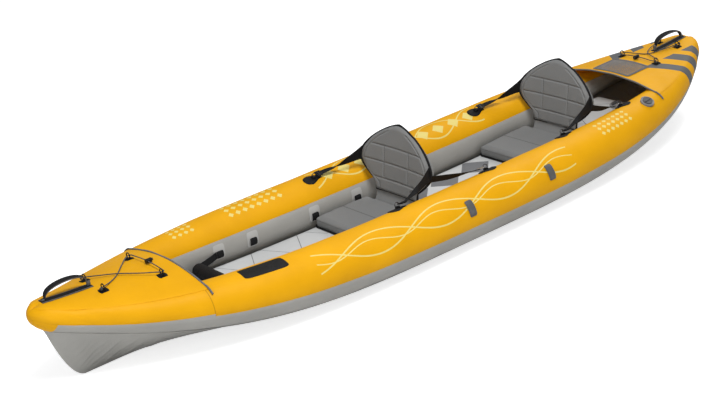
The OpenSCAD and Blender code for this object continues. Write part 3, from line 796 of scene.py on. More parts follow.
@dataclass(frozen=True)
class CoatedFabric:
    """Coated fabric with a fine weave, a satin coat and an optional print.

    A cover can have a line at its cross seam with a grey step ahead of it, a tip in another colour,
    and slanted bars across the stern.
    """

    name: str
    base: RGBA
    shade: RGBA
    print_colour: RGBA = tint(0.80, 0.66, 0.20)
    marks: tuple[WaveLine | DiamondField, ...] = ()
    stern_bars: bool = False
    bars: tuple[tuple[float, float], ...] = ((-1.66, -1.575), (-1.80, -1.715), (-1.50, -1.425))
    bar_slant: float = 0.8
    bar_inner: float = 0.1
    bar_front: float = -1.45
    bar_colour: RGBA = tint(0.125, 0.128, 0.130)
    seam: float = 0.0
    seam_colour: RGBA = tint(0.42, 0.19, 0.002)
    step: float = 0.015
    step_len: float = 0.3
    tip_from: float = 0.0
    tip_slant: float = 0.15
    yarn: float = 0.0016

    def build(self) -> Material:
        """Builds the material's nodes.

        Returns:
            The material.
        """
        s = Shader(self.name)
        x, y, z = s.split("Object")
        u, v, _ = s.split("UV")
        edge = math.radians(LINES.seam_out) * LINES.tube_r
        colour = s.mix(s.ramp(s.noise(5.0, 4.0), 0.35, 0.7, 0.0, 1.0), self.base, self.shade)
        if self.marks:
            colour = s.mix(s.most([p.mask(s, u, v) for p in self.marks]), colour, self.print_colour)
        if self.stern_bars:
            away = s.math("ABSOLUTE", y)
            slant = s.plus(x, s.times(away, self.bar_slant))
            bars = s.most([s.within(slant, low, high) for low, high in self.bars])
            bars = s.times(bars, s.math("GREATER_THAN", away, self.bar_inner))
            colour = s.mix(s.times(bars, s.math("LESS_THAN", x, self.bar_front)), colour, self.bar_colour)
        if self.seam:
            colour = s.mix(s.ramp(s.apart(x, self.seam), 0.0008, 0.003, 0.75, 0.0), colour, self.seam_colour)
            rise = s.ramp(u, self.seam, self.seam + self.step_len, self.step, 0.0)
            low = s.math("GREATER_THAN", s.plus(v, rise), edge)
            colour = s.mix(s.times(low, s.math("GREATER_THAN", u, self.seam)), colour, GREY)
        if self.tip_from:
            slant = s.times(s.math("SUBTRACT", v, edge), self.tip_slant)
            reach = s.math("SUBTRACT", s.math("ABSOLUTE", u), slant)
            colour = s.mix(s.math("GREATER_THAN", reach, self.tip_from), colour, YELLOW)
        s.colour(colour).set("Specular IOR Level", 0.13)
        s.set("Roughness", s.ramp(s.noise(30.0, 2.0), 0.3, 0.7, 0.46, 0.56))
        weave = s.times(s.wave(x, self.yarn), s.wave(s.plus(y, z), self.yarn))
        s.bump(s.plus(s.times(weave, 0.25), s.noise(14.0, 3.0)), 0.12, 0.002)
        return s.material


@dataclass(frozen=True)
class FloorVinyl:
    """Drop-stitch floor vinyl with fine ruled lines and dark diamonds."""

    name: str = "floor_vinyl"
    base: RGBA = tint(0.60, 0.61, 0.61)
    shade: RGBA = tint(0.52, 0.53, 0.53)
    line: RGBA = tint(0.10, 0.105, 0.115)
    panel: RGBA = tint(0.16, 0.165, 0.175)
    line_slopes: tuple[float, float] = (0.55, -0.55)
    line_pitch: float = 0.26
    line_half: float = 0.0065
    ruled: tuple[tuple[float, float], ...] = ((0.44, 1.2), (-1.46, -1.05))
    panel_cell: float = 0.2
    panel_y: float = 0.11
    panel_reach: tuple[float, float] = (-0.6, 0.0)

    def build(self) -> Material:
        """Builds the material's nodes.

        Returns:
            The material.
        """
        s = Shader(self.name)
        x, y, _ = s.split("Object")
        colour = s.mix(s.ramp(s.noise(4.0, 4.0), 0.35, 0.7, 0.0, 1.0), self.base, self.shade)
        marks = [s.math("LESS_THAN", s.cell(s.plus(x, s.times(y, slope)), self.line_pitch), self.line_half)
                 for slope in self.line_slopes]
        reach = s.most([s.within(x, low, high) for low, high in self.ruled])
        colour = s.mix(s.times(s.most(marks), reach), colour, self.line)
        out = s.times(s.apart(s.math("ABSOLUTE", y), self.panel_y), 1 / self.panel_cell)
        inside = s.math("LESS_THAN", s.plus(s.cell(x, self.panel_cell), out), 0.46)
        s.colour(s.mix(s.times(inside, s.within(x, *self.panel_reach)), colour, self.panel))
        s.set("Roughness", s.ramp(s.noise(40.0, 2.0), 0.3, 0.7, 0.5, 0.62))
        dots = s.add("TexVoronoi", {"Vector": s.spot.outputs["Object"], "Scale": 190.0}, "Distance")
        s.bump(s.plus(s.times(dots, 0.5), s.noise(22.0, 2.0)), 0.25, 0.0015)
        return s.material


@dataclass(frozen=True)
class Webbing:
    """Woven webbing with cross ribs and a paler line along each edge."""

    name: str
    base: RGBA = tint(0.005, 0.005, 0.0055)
    rib: RGBA = tint(0.013, 0.013, 0.014)
    edge: RGBA | None = None
    edge_from: float = 0.014

    def build(self) -> Material:
        """Builds the material's nodes.

        Returns:
            The material.
        """
        s = Shader(self.name)
        u, v, _ = s.split("UV")
        height = s.plus(s.wave(u, 0.0022), s.times(s.wave(s.plus(u, v), 0.0031), 0.5))
        colour = s.mix(s.ramp(height, -1.2, 1.2, 0.0, 1.0), self.base, self.rib)
        if self.edge:
            border = s.math("GREATER_THAN", s.math("ABSOLUTE", v), self.edge_from)
            colour = s.mix(border, colour, self.edge)
        s.colour(s.mix(s.ramp(s.noise(60.0), 0.4, 0.7, 0.0, 0.25), colour, self.rib))
        s.set("Roughness", 0.78).set("Specular IOR Level", 0.22).bump(height, 0.5, 0.0006)
        return s.material


@dataclass(frozen=True)
class SeatCloth:
    """Woven seat cloth with sunk seams and their thread."""

    name: str = "seat_cloth"
    base: RGBA = tint(0.24, 0.243, 0.242)
    shade: RGBA = tint(0.195, 0.198, 0.197)
    thread: RGBA = tint(0.075, 0.077, 0.077)
    yarn: float = 0.0021
    stitch: float = 0.007

    def build(self) -> Material:
        """Builds the material's nodes.

        Returns:
            The material.
        """
        s = Shader(self.name)
        x, y, z = s.split("Object")
        weave = s.times(s.wave(y, self.yarn), s.wave(s.plus(s.times(x, 0.9), z), self.yarn))
        colour = s.mix(s.ramp(weave, -1.0, 1.0, 0.0, 1.0), self.shade, self.base)
        colour = s.mix(s.ramp(s.noise(9.0, 4.0), 0.4, 0.75, 0.0, 0.35), colour, self.shade)
        seam = s.add("Attribute", {}, "Fac", attribute_name="seam")
        dash = s.math("GREATER_THAN", s.wave(s.plus(y, s.plus(x, z)), self.stitch), -0.5)
        s.colour(s.mix(s.times(s.ramp(seam, 0.45, 0.75, 0.0, 0.85), dash), colour, self.thread))
        s.set("Roughness", 0.88).set("Specular IOR Level", 0.3)
        s.bump(s.plus(weave, s.times(s.noise(18.0), 2.0)), 0.35, 0.0008)
        return s.material


@dataclass(frozen=True)
class Moulding:
    """Moulded plastic or rubber with a fine grain."""

    name: str
    base: RGBA
    worn: RGBA
    rough: float = 0.45
    grain: float = 900.0

    def build(self) -> Material:
        """Builds the material's nodes.

        Returns:
            The material.
        """
        s = Shader(self.name)
        s.colour(s.mix(s.ramp(s.noise(35.0, 4.0), 0.45, 0.75, 0.0, 0.6), self.base, self.worn))
        s.set("Roughness", s.ramp(s.noise(120.0, 2.0), 0.3, 0.7, self.rough - 0.06, self.rough + 0.08))
        s.set("Specular IOR Level", 0.22).bump(s.noise(self.grain, 2.0), 0.15, 0.0004)
        return s.material


@dataclass(frozen=True)
class BraidedCord:
    """Braided sheath of a bungee cord with pale flecks."""

    name: str = "braided_cord"
    base: RGBA = tint(0.022, 0.023, 0.025)
    fleck: RGBA = tint(0.16, 0.16, 0.165)
    strand: float = 0.0052

    def build(self) -> Material:
        """Builds the material's nodes.

        Returns:
            The material.
        """
        s = Shader(self.name)
        u, v, _ = s.split("UV")
        braid = s.times(s.wave(s.plus(u, v), self.strand), s.wave(s.math("SUBTRACT", u, v), self.strand))
        s.colour(s.mix(s.ramp(braid, 0.25, 0.6, 0.0, 0.8), self.base, self.fleck))
        s.set("Roughness", 0.75).set("Sheen Weight", 0.2).bump(braid, 0.5, 0.0006)
        return s.material


@dataclass(frozen=True)
class Metal:
    """Stamped or drawn steel with a light brushing."""

    name: str
    base: RGBA
    rough: float = 0.3

    def build(self) -> Material:
        """Builds the material's nodes.

        Returns:
            The material.
        """
        s = Shader(self.name)
        streak = s.noise(260.0)
        s.colour(self.base).set("Metallic", 1.0).bump(streak, 0.08, 0.0003)
        s.set("Roughness", s.ramp(streak, 0.3, 0.7, self.rough - 0.08, self.rough + 0.12))
        return s.material


class Finishes:
    """Every finish of the kayak, built once and found by its name."""

    built: dict[str, Material] = {}

    @classmethod
    def build(cls) -> None:
        """Builds all the materials."""
        yellow, grey, seam = (YELLOW, YELLOW_SHADE), (GREY, GREY_SHADE), LINES.cross_seam
        port = (WaveLine(-0.62, 0.88, 0.105, 0.055, 0.75, 0.0, 0.007),
                WaveLine(-0.62, 0.88, 0.105, 0.055, 0.75, math.pi, 0.007),
                WaveLine(-0.62, 0.88, 0.105, 0.020, 0.375, 0.8, 0.005),
                DiamondField(-1.088, -0.85, 0.0, 0.102, 0.034))
        starboard = (WaveLine(-0.72, 0.34, -0.045, 0.062, 0.54, 0.4, 0.008),
                     WaveLine(-0.72, 0.34, -0.045, 0.062, 0.54, 0.4 + math.pi, 0.008),
                     DiamondField(-0.7, 0.3, -0.1, 0.0, 0.1), DiamondField(0.52, 0.84, -0.08, 0.04, 0.04),
                     DiamondField(1.02, 1.156, -0.068, 0.034, 0.034))
        black = tint(0.006, 0.006, 0.0065)
        for finish in (
                CoatedFabric("port_fabric", *yellow, marks=port, seam=seam, stern_bars=True),
                CoatedFabric("starboard_fabric", *yellow, marks=starboard, seam=seam, stern_bars=True),
                CoatedFabric("deck_fabric", *yellow, stern_bars=True),
                CoatedFabric("grey_fabric", *grey), CoatedFabric("lower_fabric", *grey, tip_from=1.925),
                CoatedFabric("patch_fabric", tint(0.56, 0.56, 0.545), tint(0.49, 0.49, 0.475)),
                FloorVinyl(), SeatCloth(), BraidedCord(),
                Webbing("black_webbing"), Webbing("handle_webbing", edge=tint(0.13, 0.13, 0.135)),
                Webbing("grey_piping", tint(0.13, 0.132, 0.136), tint(0.19, 0.192, 0.196)),
                Webbing("black_binding"),
                Moulding("black_plastic", black, tint(0.014, 0.014, 0.015)),
                Moulding("pad_rubber", black, tint(0.013, 0.013, 0.014), 0.65),
                Moulding("label_patch", tint(0.008, 0.0078, 0.0072), tint(0.016, 0.0155, 0.0145), 0.6),
                Moulding("tab_rubber", tint(0.10, 0.10, 0.102), tint(0.17, 0.17, 0.172), 0.55),
                Moulding("valve_grey", tint(0.21, 0.212, 0.216), tint(0.28, 0.282, 0.286), 0.42),
                Moulding("cap_grey", tint(0.075, 0.076, 0.08), tint(0.12, 0.121, 0.125), 0.42),
                Moulding("button_grey", tint(0.035, 0.035, 0.037), tint(0.06, 0.06, 0.062)),
                Moulding("net_grey", tint(0.26, 0.255, 0.25), tint(0.34, 0.335, 0.33), 0.7),
                Moulding("bladder_grey", tint(0.22, 0.22, 0.225), tint(0.28, 0.28, 0.285), 0.6),
                Metal("bright_steel", tint(0.62, 0.62, 0.63)),
                Metal("dark_steel", tint(0.10, 0.10, 0.105), 0.4)):
            cls.built[finish.name] = finish.build()


@dataclass
class Hull:
    """The covered tubes, the floor, the bottom skin, the decks and the patches."""

    cols: int = 400
    wall: float = 0.002
    seam_w: float = 3.2
    seam_sink: float = 0.0013
    skin_close: float = 0.018
    skin_fold: tuple[float, float] = (0.0052, 0.0024)
    floor_span: tuple[float, float] = (-1.460, 1.440)
    floor_half_t: float = 0.045
    deck_tip: float = 1.966
    deck_droop: float = 1.936
    deck_t: float = 0.0013
    piping_r: float = 0.0042
    piping_end: float = 46.0
    pocket_span: tuple[float, float] = (-1.527, -1.374)
    pocket_half: float = 0.115
    net_wire: float = 0.0014
    hem_half: float = 0.006

    def pucker(self, x: float, angle: float) -> float:
        """Finds how far the fabric stands off its true line, for seams and creases.

        Args:
            x: place along the hull.
            angle: degrees from the tube's top, positive outwards.

        Returns:
            The distance off the line.
        """
        seams = (LINES.seam_out, -LINES.seam_in, 360 - LINES.seam_in)
        seam = sum(bell(angle - a, self.seam_w) for a in seams)
        sewn = -self.seam_sink * seam * (1 + 0.35 * math.sin(150 * x))
        slack = 0.0005 * math.sin(7.3 * x + 0.05 * angle) + 0.0004 * math.sin(17.0 * x - 0.08 * angle)
        crease = 0.0013 * math.sin(46 * x + 0.06 * angle) * math.sin(math.radians(2 * angle + 40))
        joint = -0.0011 * bell(abs(x) - LINES.cross_seam, 0.006)
        return sewn + slack + ease(abs(x), 1.62, 1.9) * crease + joint

    def covers(self, upper: bool) -> None:
        """Builds one half of both tubes' covers.

        Args:
            upper: build the upper half, not the lower.
        """
        low, high = (-LINES.seam_in, LINES.seam_out) if upper else (LINES.seam_out, 360 - LINES.seam_in)

        def spot(u: float, v: float) -> tuple[float, float]:
            """Returns the place along the hull and the angle."""
            return LINES.half_len * math.sin(math.pi * (u - 0.5)), low + (high - low) * v

        def place(u: float, v: float) -> Vector:
            """Finds a point on the cover."""
            x, a = spot(u, v)
            return LINES.tube(x, a, self.pucker(x, a) * min(1.0, LINES.radius(x) / 0.03))

        def mark(u: float, v: float) -> tuple[float, float]:
            """Returns the print's place in metres."""
            x, a = spot(u, v)
            return x, math.radians(a) * LINES.tube_r

        level, slot = ("upper", "yellow_cover") if upper else ("lower", "grey_cover")
        port = Bench.sheet(f"port_{level}_cover_fabric", self.cols, 40, place, mark, wrap=True)
        cut = Bench.cut(port, place)
        Bench.smooth(Bench.thicken(port, self.wall), 50)
        for side, obj in Bench.pair(port):
            finish = f"{side.label}_fabric" if upper else "lower_fabric"
            Bench.dress(obj, finish, slot, f"{side.label}_{level}_cover")

    def skin(self) -> None:
        """Builds the bottom skin with its folded cutwaters, closed where the keel meets the tubes."""
        end = LINES.skin_end + self.skin_close
        wide, deep = self.skin_fold

        def place(u: float, v: float) -> Vector:
            """Finds a point on the folded skin."""
            s = 2 * v - 1
            x = end * math.sin(math.pi * (u - 0.5)) if abs(u - 0.5) < 0.5 else math.copysign(end, u - 0.5)
            p = LINES.skin(x, s)
            inside = ease(abs(x), 1.42, 1.62) * (1 - ease(abs(x), 1.84, 1.92))
            window = inside * ease(abs(s), 0.05, 0.25) * (1 - ease(abs(s), 0.5, 0.78))
            fold = (math.sin(2 * math.pi * (abs(x) + 0.9 * p.z) / 0.072)
                    + 0.4 * math.sin(2 * math.pi * (abs(x) + 0.5 * p.z) / 0.041))
            p.y += math.copysign(wide * window * fold, s)
            p.z -= deep * window * fold
            return p

        obj = Bench.sheet("bottom_skin_fabric", 360, 64, place, lambda u, v: (2 * end * u, v),
                          flip=True, wrap=True)
        cut = Bench.cut(obj, place)
        Bench.smooth(Bench.thicken(obj, self.wall), 50)
        Bench.dress(obj, "grey_fabric", "grey_cover", "bottom_skin")

    def floor(self) -> None:
        """Builds the inflated floor with its round edges."""
        aft, front = self.floor_span
        half_t, arc, flat = self.floor_half_t, 12, 18
        ring = [(1, math.radians(-90 + 180 * k / arc)) for k in range(arc + 1)]
        ring += [(1 - 2 * k / flat, math.radians(90)) for k in range(1, flat)]
        ring += [(-1, math.radians(90 + 180 * k / arc)) for k in range(arc + 1)]
        ring += [(-1 + 2 * k / flat, math.radians(270)) for k in range(1, flat)] + [ring[0]]

        def place(u: float, v: float) -> Vector:
            """Finds a point on the floor's skin."""
            x = aft + (front - aft) * u
            edge = min(x - aft, front - x)
            bite = math.sqrt(max(0.0, 1 - (1 - min(1.0, edge / 0.022)) ** 2)) * 0.6 + 0.4
            part, a = ring[round(v * (len(ring) - 1))]
            er = half_t * bite
            mid = LINES.floor_half(x) - half_t
            tuft = 0.0004 * math.sin(120 * x) * math.sin(120 * part * mid)
            z = LINES.floor_top(x) - half_t + (er + tuft) * math.sin(a)
            return Vector((x, part * mid + er * math.cos(a) * (1 if abs(part) == 1 else 0), z))

        obj = Bench.sheet("floor_panel_vinyl", 180, len(ring) - 1, place,
                          lambda u, v: (u * (front - aft), v), wrap=True)
        Bench.smooth(Bench.seal(obj), 45)
        Bench.dress(obj, "floor_vinyl", "floor_vinyl", "floor_panel")

    def deck(self, end: End) -> None:
        """Builds one deck and the piping on its open edge.

        Args:
            end: the end of the hull.
        """
        sign, lo, hi = end.value, LINES.deck_edge, self.deck_tip

        def place(u: float, v: float) -> Vector:
            """Finds a point on the creased deck."""
            x, t = lo + (hi - lo) * u, 2 * v - 1
            crease = 0.0012 * math.sin(38 * x + 4 * abs(t)) * (1 - abs(t)) * (1 - u)
            p = LINES.deck(sign * x, t, crease)
            off = abs(p.y) - LINES.centre(p.x)
            rest = LINES.height(x) + math.sqrt(max(0.0, LINES.radius(x) ** 2 - off * off)) + 0.0016
            p.z += (min(p.z, rest) - p.z) * ease(x, self.deck_droop, hi - 0.004)
            return p

        obj = Bench.sheet(f"{end.label}_deck_fabric", 90, 60, place, flip=sign < 0)
        cut = Bench.cut(obj, place)
        Bench.smooth(Bench.thicken(obj, self.deck_t), 50)
        Bench.dress(obj, "deck_fabric", "yellow_cover", f"{end.label}_deck")

        x, free = sign * (lo - 0.0025), LINES.deck_free
        hem = [LINES.deck(x, t, 0.001) for t in np.linspace(-free, free, 61)]
        contact = math.degrees(math.atan2(hem[-1].y - LINES.centre(x), hem[-1].z - LINES.height(x)))
        port = [LINES.tube(x, a, 0.0045) for a in np.linspace(contact, self.piping_end, 12)[1:]]
        line = [across(p) for p in reversed(port)] + hem + port
        path = [Vector((p.x, p.y, p.z + 0.0008 * math.sin(40 * p.y))) for p in line]
        trim = Bench.smooth(Bench.rod(f"{end.label}_deck_piping", path, lambda s: self.piping_r), 50)
        Bench.dress(trim, "grey_piping", "grey_piping", f"{end.label}_deck_trim")

    def pocket(self) -> None:
        """Builds the net pocket on the stern deck with its bound edges."""
        (lo, hi), half = self.pocket_span, self.pocket_half

        def top(x: float, y: float, up: float) -> Vector:
            """Finds a point over the stern deck."""
            return Vector((x, y, LINES.deck_top(x, y) + up * (1 if abs(y) < LINES.centre(x) else 0)))

        def place(u: float, v: float) -> Vector:
            """Finds a point on the slack net."""
            slack = 0.004 * math.sin(math.pi * u) * math.sin(math.pi * v)
            return top(lo + (hi - lo) * u, half * (2 * v - 1), 0.0024 + slack)

        net = Bench.sheet("pocket_net", 40, 60, place)
        Bench.modify(net, "WIREFRAME", thickness=self.net_wire, use_replace=True, use_even_offset=False)
        Bench.dress(net, "net_grey", "grey_piping", "mesh_pocket")
        along, wide = Vector((self.hem_half, 0, 0)), Vector((0, self.hem_half, 0))
        hems = []
        for name, turn, path in (
                ("fore", along, [(hi, half * k / 10) for k in range(-10, 11)]),
                ("aft", along, [(lo, half * k / 10) for k in range(-10, 11)]),
                ("port", wide, [(lo + (hi - lo) * k / 10, half) for k in range(11)]),
                ("starboard", wide, [(lo + (hi - lo) * k / 10, -half) for k in range(11)])):

            def edges(t: float, path: list = path, turn: Vector = turn) -> tuple[Vector, Vector]:
                """Finds the hem's two edges."""
                x, y = path[round(t * (len(path) - 1))]
                return top(x - turn.x, y - turn.y, 0.0032), top(x + turn.x, y + turn.y, 0.0032)

            hems.append(Bench.ribbon(f"pocket_hem_{name}", edges, len(path) - 1, 0.0016))
        hem = Bench.dress(Bench.join("pocket_hem", hems), "grey_piping", "grey_piping")

    @staticmethod
    def patch(name: str, x: float, angle: float, length: float, span: float, up: float, thick: float,
              square: float, arch: float = 0.0) -> Piece:
        """Builds a patch with round corners that lies on the port tube.

        Args:
            name: the piece's name.
            x: the patch's middle along the hull.
            angle: the patch's middle round the tube, in degrees.
            length: its length along the hull.
            span: its span round the tube, in degrees.
            up: how far its underside is off the cover.
            thick: its thickness.
            square: how square the outline is; 2 is an ellipse.
            arch: how far its middle stands up.

        Returns:
            The patch.
        """
        def place(u: float, v: float) -> Vector:
            """Finds a point on the patch."""
            p, q = 2 * u - 1, 2 * v - 1
            big = max(abs(p), abs(q))
            if big > 1e-6:
                scale = big / (abs(p) ** square + abs(q) ** square) ** (1 / square)
                p, q = p * scale, q * scale
            rise = up + thick * 0.65
            if abs(q) < 1:
                rise = up + thick * (1 - 0.35 * big ** 6) + arch * (1 - q * q) ** 0.7
            return LINES.tube(x + p * length / 2, angle + q * span / 2, rise)

        girth = math.radians(span) * LINES.radius(x)
        obj = Bench.sheet(name, 14, 18, place, lambda u, v: (u * length, (v - 0.5) * girth))
        return Bench.smooth(Bench.thicken(obj, thick * 0.6), 50)

    def patches(self) -> None:
        """Builds the bare patch, the side tabs, and the wall patches with their webbing loops."""
        bare = self.patch("bare_patch_film", 1.0875, 11.0, 0.205, 38.0, 0.0002, 0.0012, 9.0)
        Bench.dress(bare, "label_patch", "black_webbing", "bare_patch")
        sides, walls = (0.045, -0.455), (0.960, 0.770, 0.410, 0.155)
        for name, places, sizes, finish, slot, node in (
                ("side_tab_pads", sides, (60.0, 0.040, 33.0, 0.0006, 0.003, 8.0, 0.0045),
                 "tab_rubber", "grey_patch", "side_tabs"),
                ("wall_patch_set", walls, (-92.0, 0.062, 34.0, 0.0004, 0.0016, 6.0),
                 "patch_fabric", "grey_patch", "wall_patches"),
                ("wall_loops", walls, (-97.0, 0.038, 17.0, 0.0022, 0.003, 8.0, 0.006),
                 "black_webbing", "black_webbing", "wall_tabs")):
            made = [self.patch(f"{name}_{k}", x, *sizes) for k, x in enumerate(places)]
            for _, obj in Bench.pair(Bench.join(f"port_{name}", made)):
                Bench.dress(obj, finish, slot, node)

    def build(self) -> None:
        """Builds the whole hull."""
        self.covers(True)
        self.covers(False)
        self.skin()
        self.floor()
        for end in End:
            self.deck(end)
        self.pocket()
        self.patches()


@dataclass
class DeckGear:
    """One end's bungee, ring patches and carrying handle."""

    end: End
    cord_d: float = 0.005
    knot_r: float = 0.0022
    ring_patch: tuple[float, float] = (0.021, 0.017)
    handle_far: float = 1.915
    handle_len: float = 0.195
    handle_rise: float = 0.046
    handle_w: float = 0.036
    handle_foot_w: float = 0.008
    base_over: float = 0.018
    base_half_w: float = 0.020
    sleeve_r: float = 0.0062
    axis_z: float = 0.38389

    def name(self, part: str) -> str:
        """Returns a piece's name at this end."""
        return f"{self.end.label}_{part}"

    @property
    def route(self) -> list[tuple[float, float, float]]:
        """The cord's chosen points: place along, place across and height over the deck."""
        if self.end is End.BOW:
            under = [(1700, 80, 16), (1690, 75, 16), (1640, 45, 7), (1580, 0, 3), (1510, -75, 8), (1470, -112, 16),
                     (1445, -130, 17), (1433, -128, 16), (1430, -110, 14), (1430, -60, 14), (1430, -20, 14)]
            lifts = {2: 11, 3: 9, 4: 12}
        else:
            under = [(1825, 65, 16), (1815, 62, 16), (1765, 48, 11), (1705, 28, 8), (1655, 0, 3), (1625, -60, 8),
                     (1605, -100, 16), (1590, -115, 17), (1578, -113, 16), (1575, -95, 14), (1575, -55, 14),
                     (1575, -20, 14)]
            lifts = {2: 12, 3: 12, 4: 9, 5: 12}
        over = [(x, -y, lifts.get(k, lift)) for k, (x, y, lift) in enumerate(under)]
        return [(self.end.value * x * MM, y * MM, lift * MM) for x, y, lift in under + over[::-1]]

    def bungee(self) -> None:
        """Builds the cord through the rings, with a knot past each front ring."""
        path = smooth_run([(x, y, LINES.deck_top(x, y) + lift) for x, y, lift in self.route], 8)
        cord = Bench.smooth(Bench.rod(self.name("bungee_cord"), path, lambda s: self.cord_d / 2), 60)
        Bench.dress(cord, "braided_cord", "bungee", self.name("bungee"))
        knots, size = [], self.knot_r
        for name, at, toward in (("a", path[0], path[1]), ("b", path[-1], path[-2])):
            out = (at - toward).normalized()
            side = out.orthogonal().normalized()
            up = out.cross(side)
            turns = [at + out * (self.cord_d / 2 + size * math.sin(3 * t))
                     + side * (math.sin(t) + 1.6 * math.sin(2 * t)) * size
                     + up * (math.cos(t) - 1.6 * math.cos(2 * t)) * size
                     for t in np.linspace(0, 2 * math.pi, 48)]
            knots.append(Bench.smooth(Bench.rod(f"knot_{name}", turns, lambda s: size, 8), 60))
        knot = Bench.dress(Bench.join(self.name("bungee_knots"), knots), "braided_cord", "bungee")
        round(run_length(path), 3)
        LOG.info("%s bungee is %.3f m long", self.end.label, run_length(path))

    def ring_patches(self) -> None:
        """Builds the sewn patch under each deck ring."""
        bow = self.end is End.BOW
        places = ((1.690, 0.075), (1.445, 0.130)) if bow else ((1.815, 0.062), (1.590, 0.115))
        sign, (long, wide) = self.end.value, self.ring_patch
        made = []
        for k, (x, y) in enumerate(places):
            for side in Side:
                def edges(t: float, x: float = x, y: float = side.value * y) -> tuple[Vector, Vector]:
                    """Finds the patch's two edges."""
                    half = wide * min(1.0, (1 - abs(2 * t - 1) ** 5) ** 0.2 + 0.35)
                    px = sign * (x + long * (2 * t - 1))
                    return tuple(Vector((px, y + d * half, LINES.deck_top(px, y + d * half) + 0.0012))
                                 for d in (-sign, sign))
                made.append(Bench.ribbon(f"ring_patch_{k}_{side.label}", edges, 12, 0.0014, rows=6))
        Bench.dress(Bench.join(self.name("ring_patches"), made), "black_webbing", "black_webbing")

    def sleeve(self, name: str, a: float, b: float) -> Piece:
        """Builds a sleeve that holds the grip's end, drawn down to the base strap.

        Args:
            name: the sleeve's name.
            a: its start, as a distance from mid length.
            b: its end.

        Returns:
            The sleeve.
        """
        steps = 14
        path = [Vector((self.end.value * (a + (b - a) * i / steps), 0, self.axis_z)) for i in range(steps + 1)]
        obj = Bench.rod(name, path, lambda s: self.sleeve_r - 0.0012 * abs(2 * s - 1) ** 6, 24)
        drop = self.axis_z - LINES.deck_top((a + b) / 2, 0.0)
        pts = Bench.points(obj)
        low = pts[:, 2] < self.axis_z
        pts[low, 2] = self.axis_z + (pts[low, 2] - self.axis_z) * max(1.0, (drop - 0.001) / self.sleeve_r)
        pts[low, 1] *= 1 + 0.5 * np.clip((self.axis_z - pts[low, 2]) / 0.012, 0, 1)
        Bench.set_points(obj, pts)
        return Bench.smooth(obj, 60)

    def handle(self) -> None:
        """Builds the base strap with its two sleeves, and the padded arch that swings between them."""
        sign, far = self.end.value, self.handle_far
        near = far - self.handle_len
        lo, hi = near - self.base_over, far + self.base_over

        def strap(t: float) -> tuple[Vector, Vector]:
            """Finds the base strap's two edges."""
            x = sign * (lo + (hi - lo) * t)
            half = min(self.base_half_w, 0.8 * LINES.centre(x))
            return tuple(Vector((x, d * half * sign, LINES.deck_top(x, d * half) + 0.0022)) for d in (-1, 1))

        parts = [Bench.ribbon(self.name("handle_strap"), strap, 40, 0.0032, rows=6),
                 self.sleeve("sleeve_0", far + 0.0005, far + 0.0145),
                 self.sleeve("sleeve_1", near - 0.0145, near - 0.0005)]
        obj = Bench.join(self.name("handle_strap_set"), parts)
        Bench.dress(obj, "handle_webbing", "black_webbing", self.name("handle_base"))

        mid = far - self.handle_len / 2

        def arch(t: float) -> tuple[Vector, Vector]:
            """Finds the arch's two edges."""
            a = math.pi * t
            x = mid - (self.handle_len / 2 - 0.003) * math.cos(a)
            z = self.axis_z + self.handle_rise * max(0.0, math.sin(a)) ** 0.7
            grow = (self.handle_w - self.handle_foot_w) * max(0.0, math.sin(a)) ** 0.5
            half = (self.handle_foot_w + grow) / 2
            return tuple(Vector((sign * x, d * half * sign, z)) for d in (-1, 1))

        grip = Bench.ribbon(self.name("handle_grip"), arch, 48, 0.0055, crown=0.0022, rows=8)
        Bench.dress(grip, "handle_webbing", "black_webbing", self.name("handle"), body=self.name("grip"))

    def build(self) -> None:
        """Builds all the gear of this end."""
        self.bungee()
        self.ring_patches()
        self.handle()


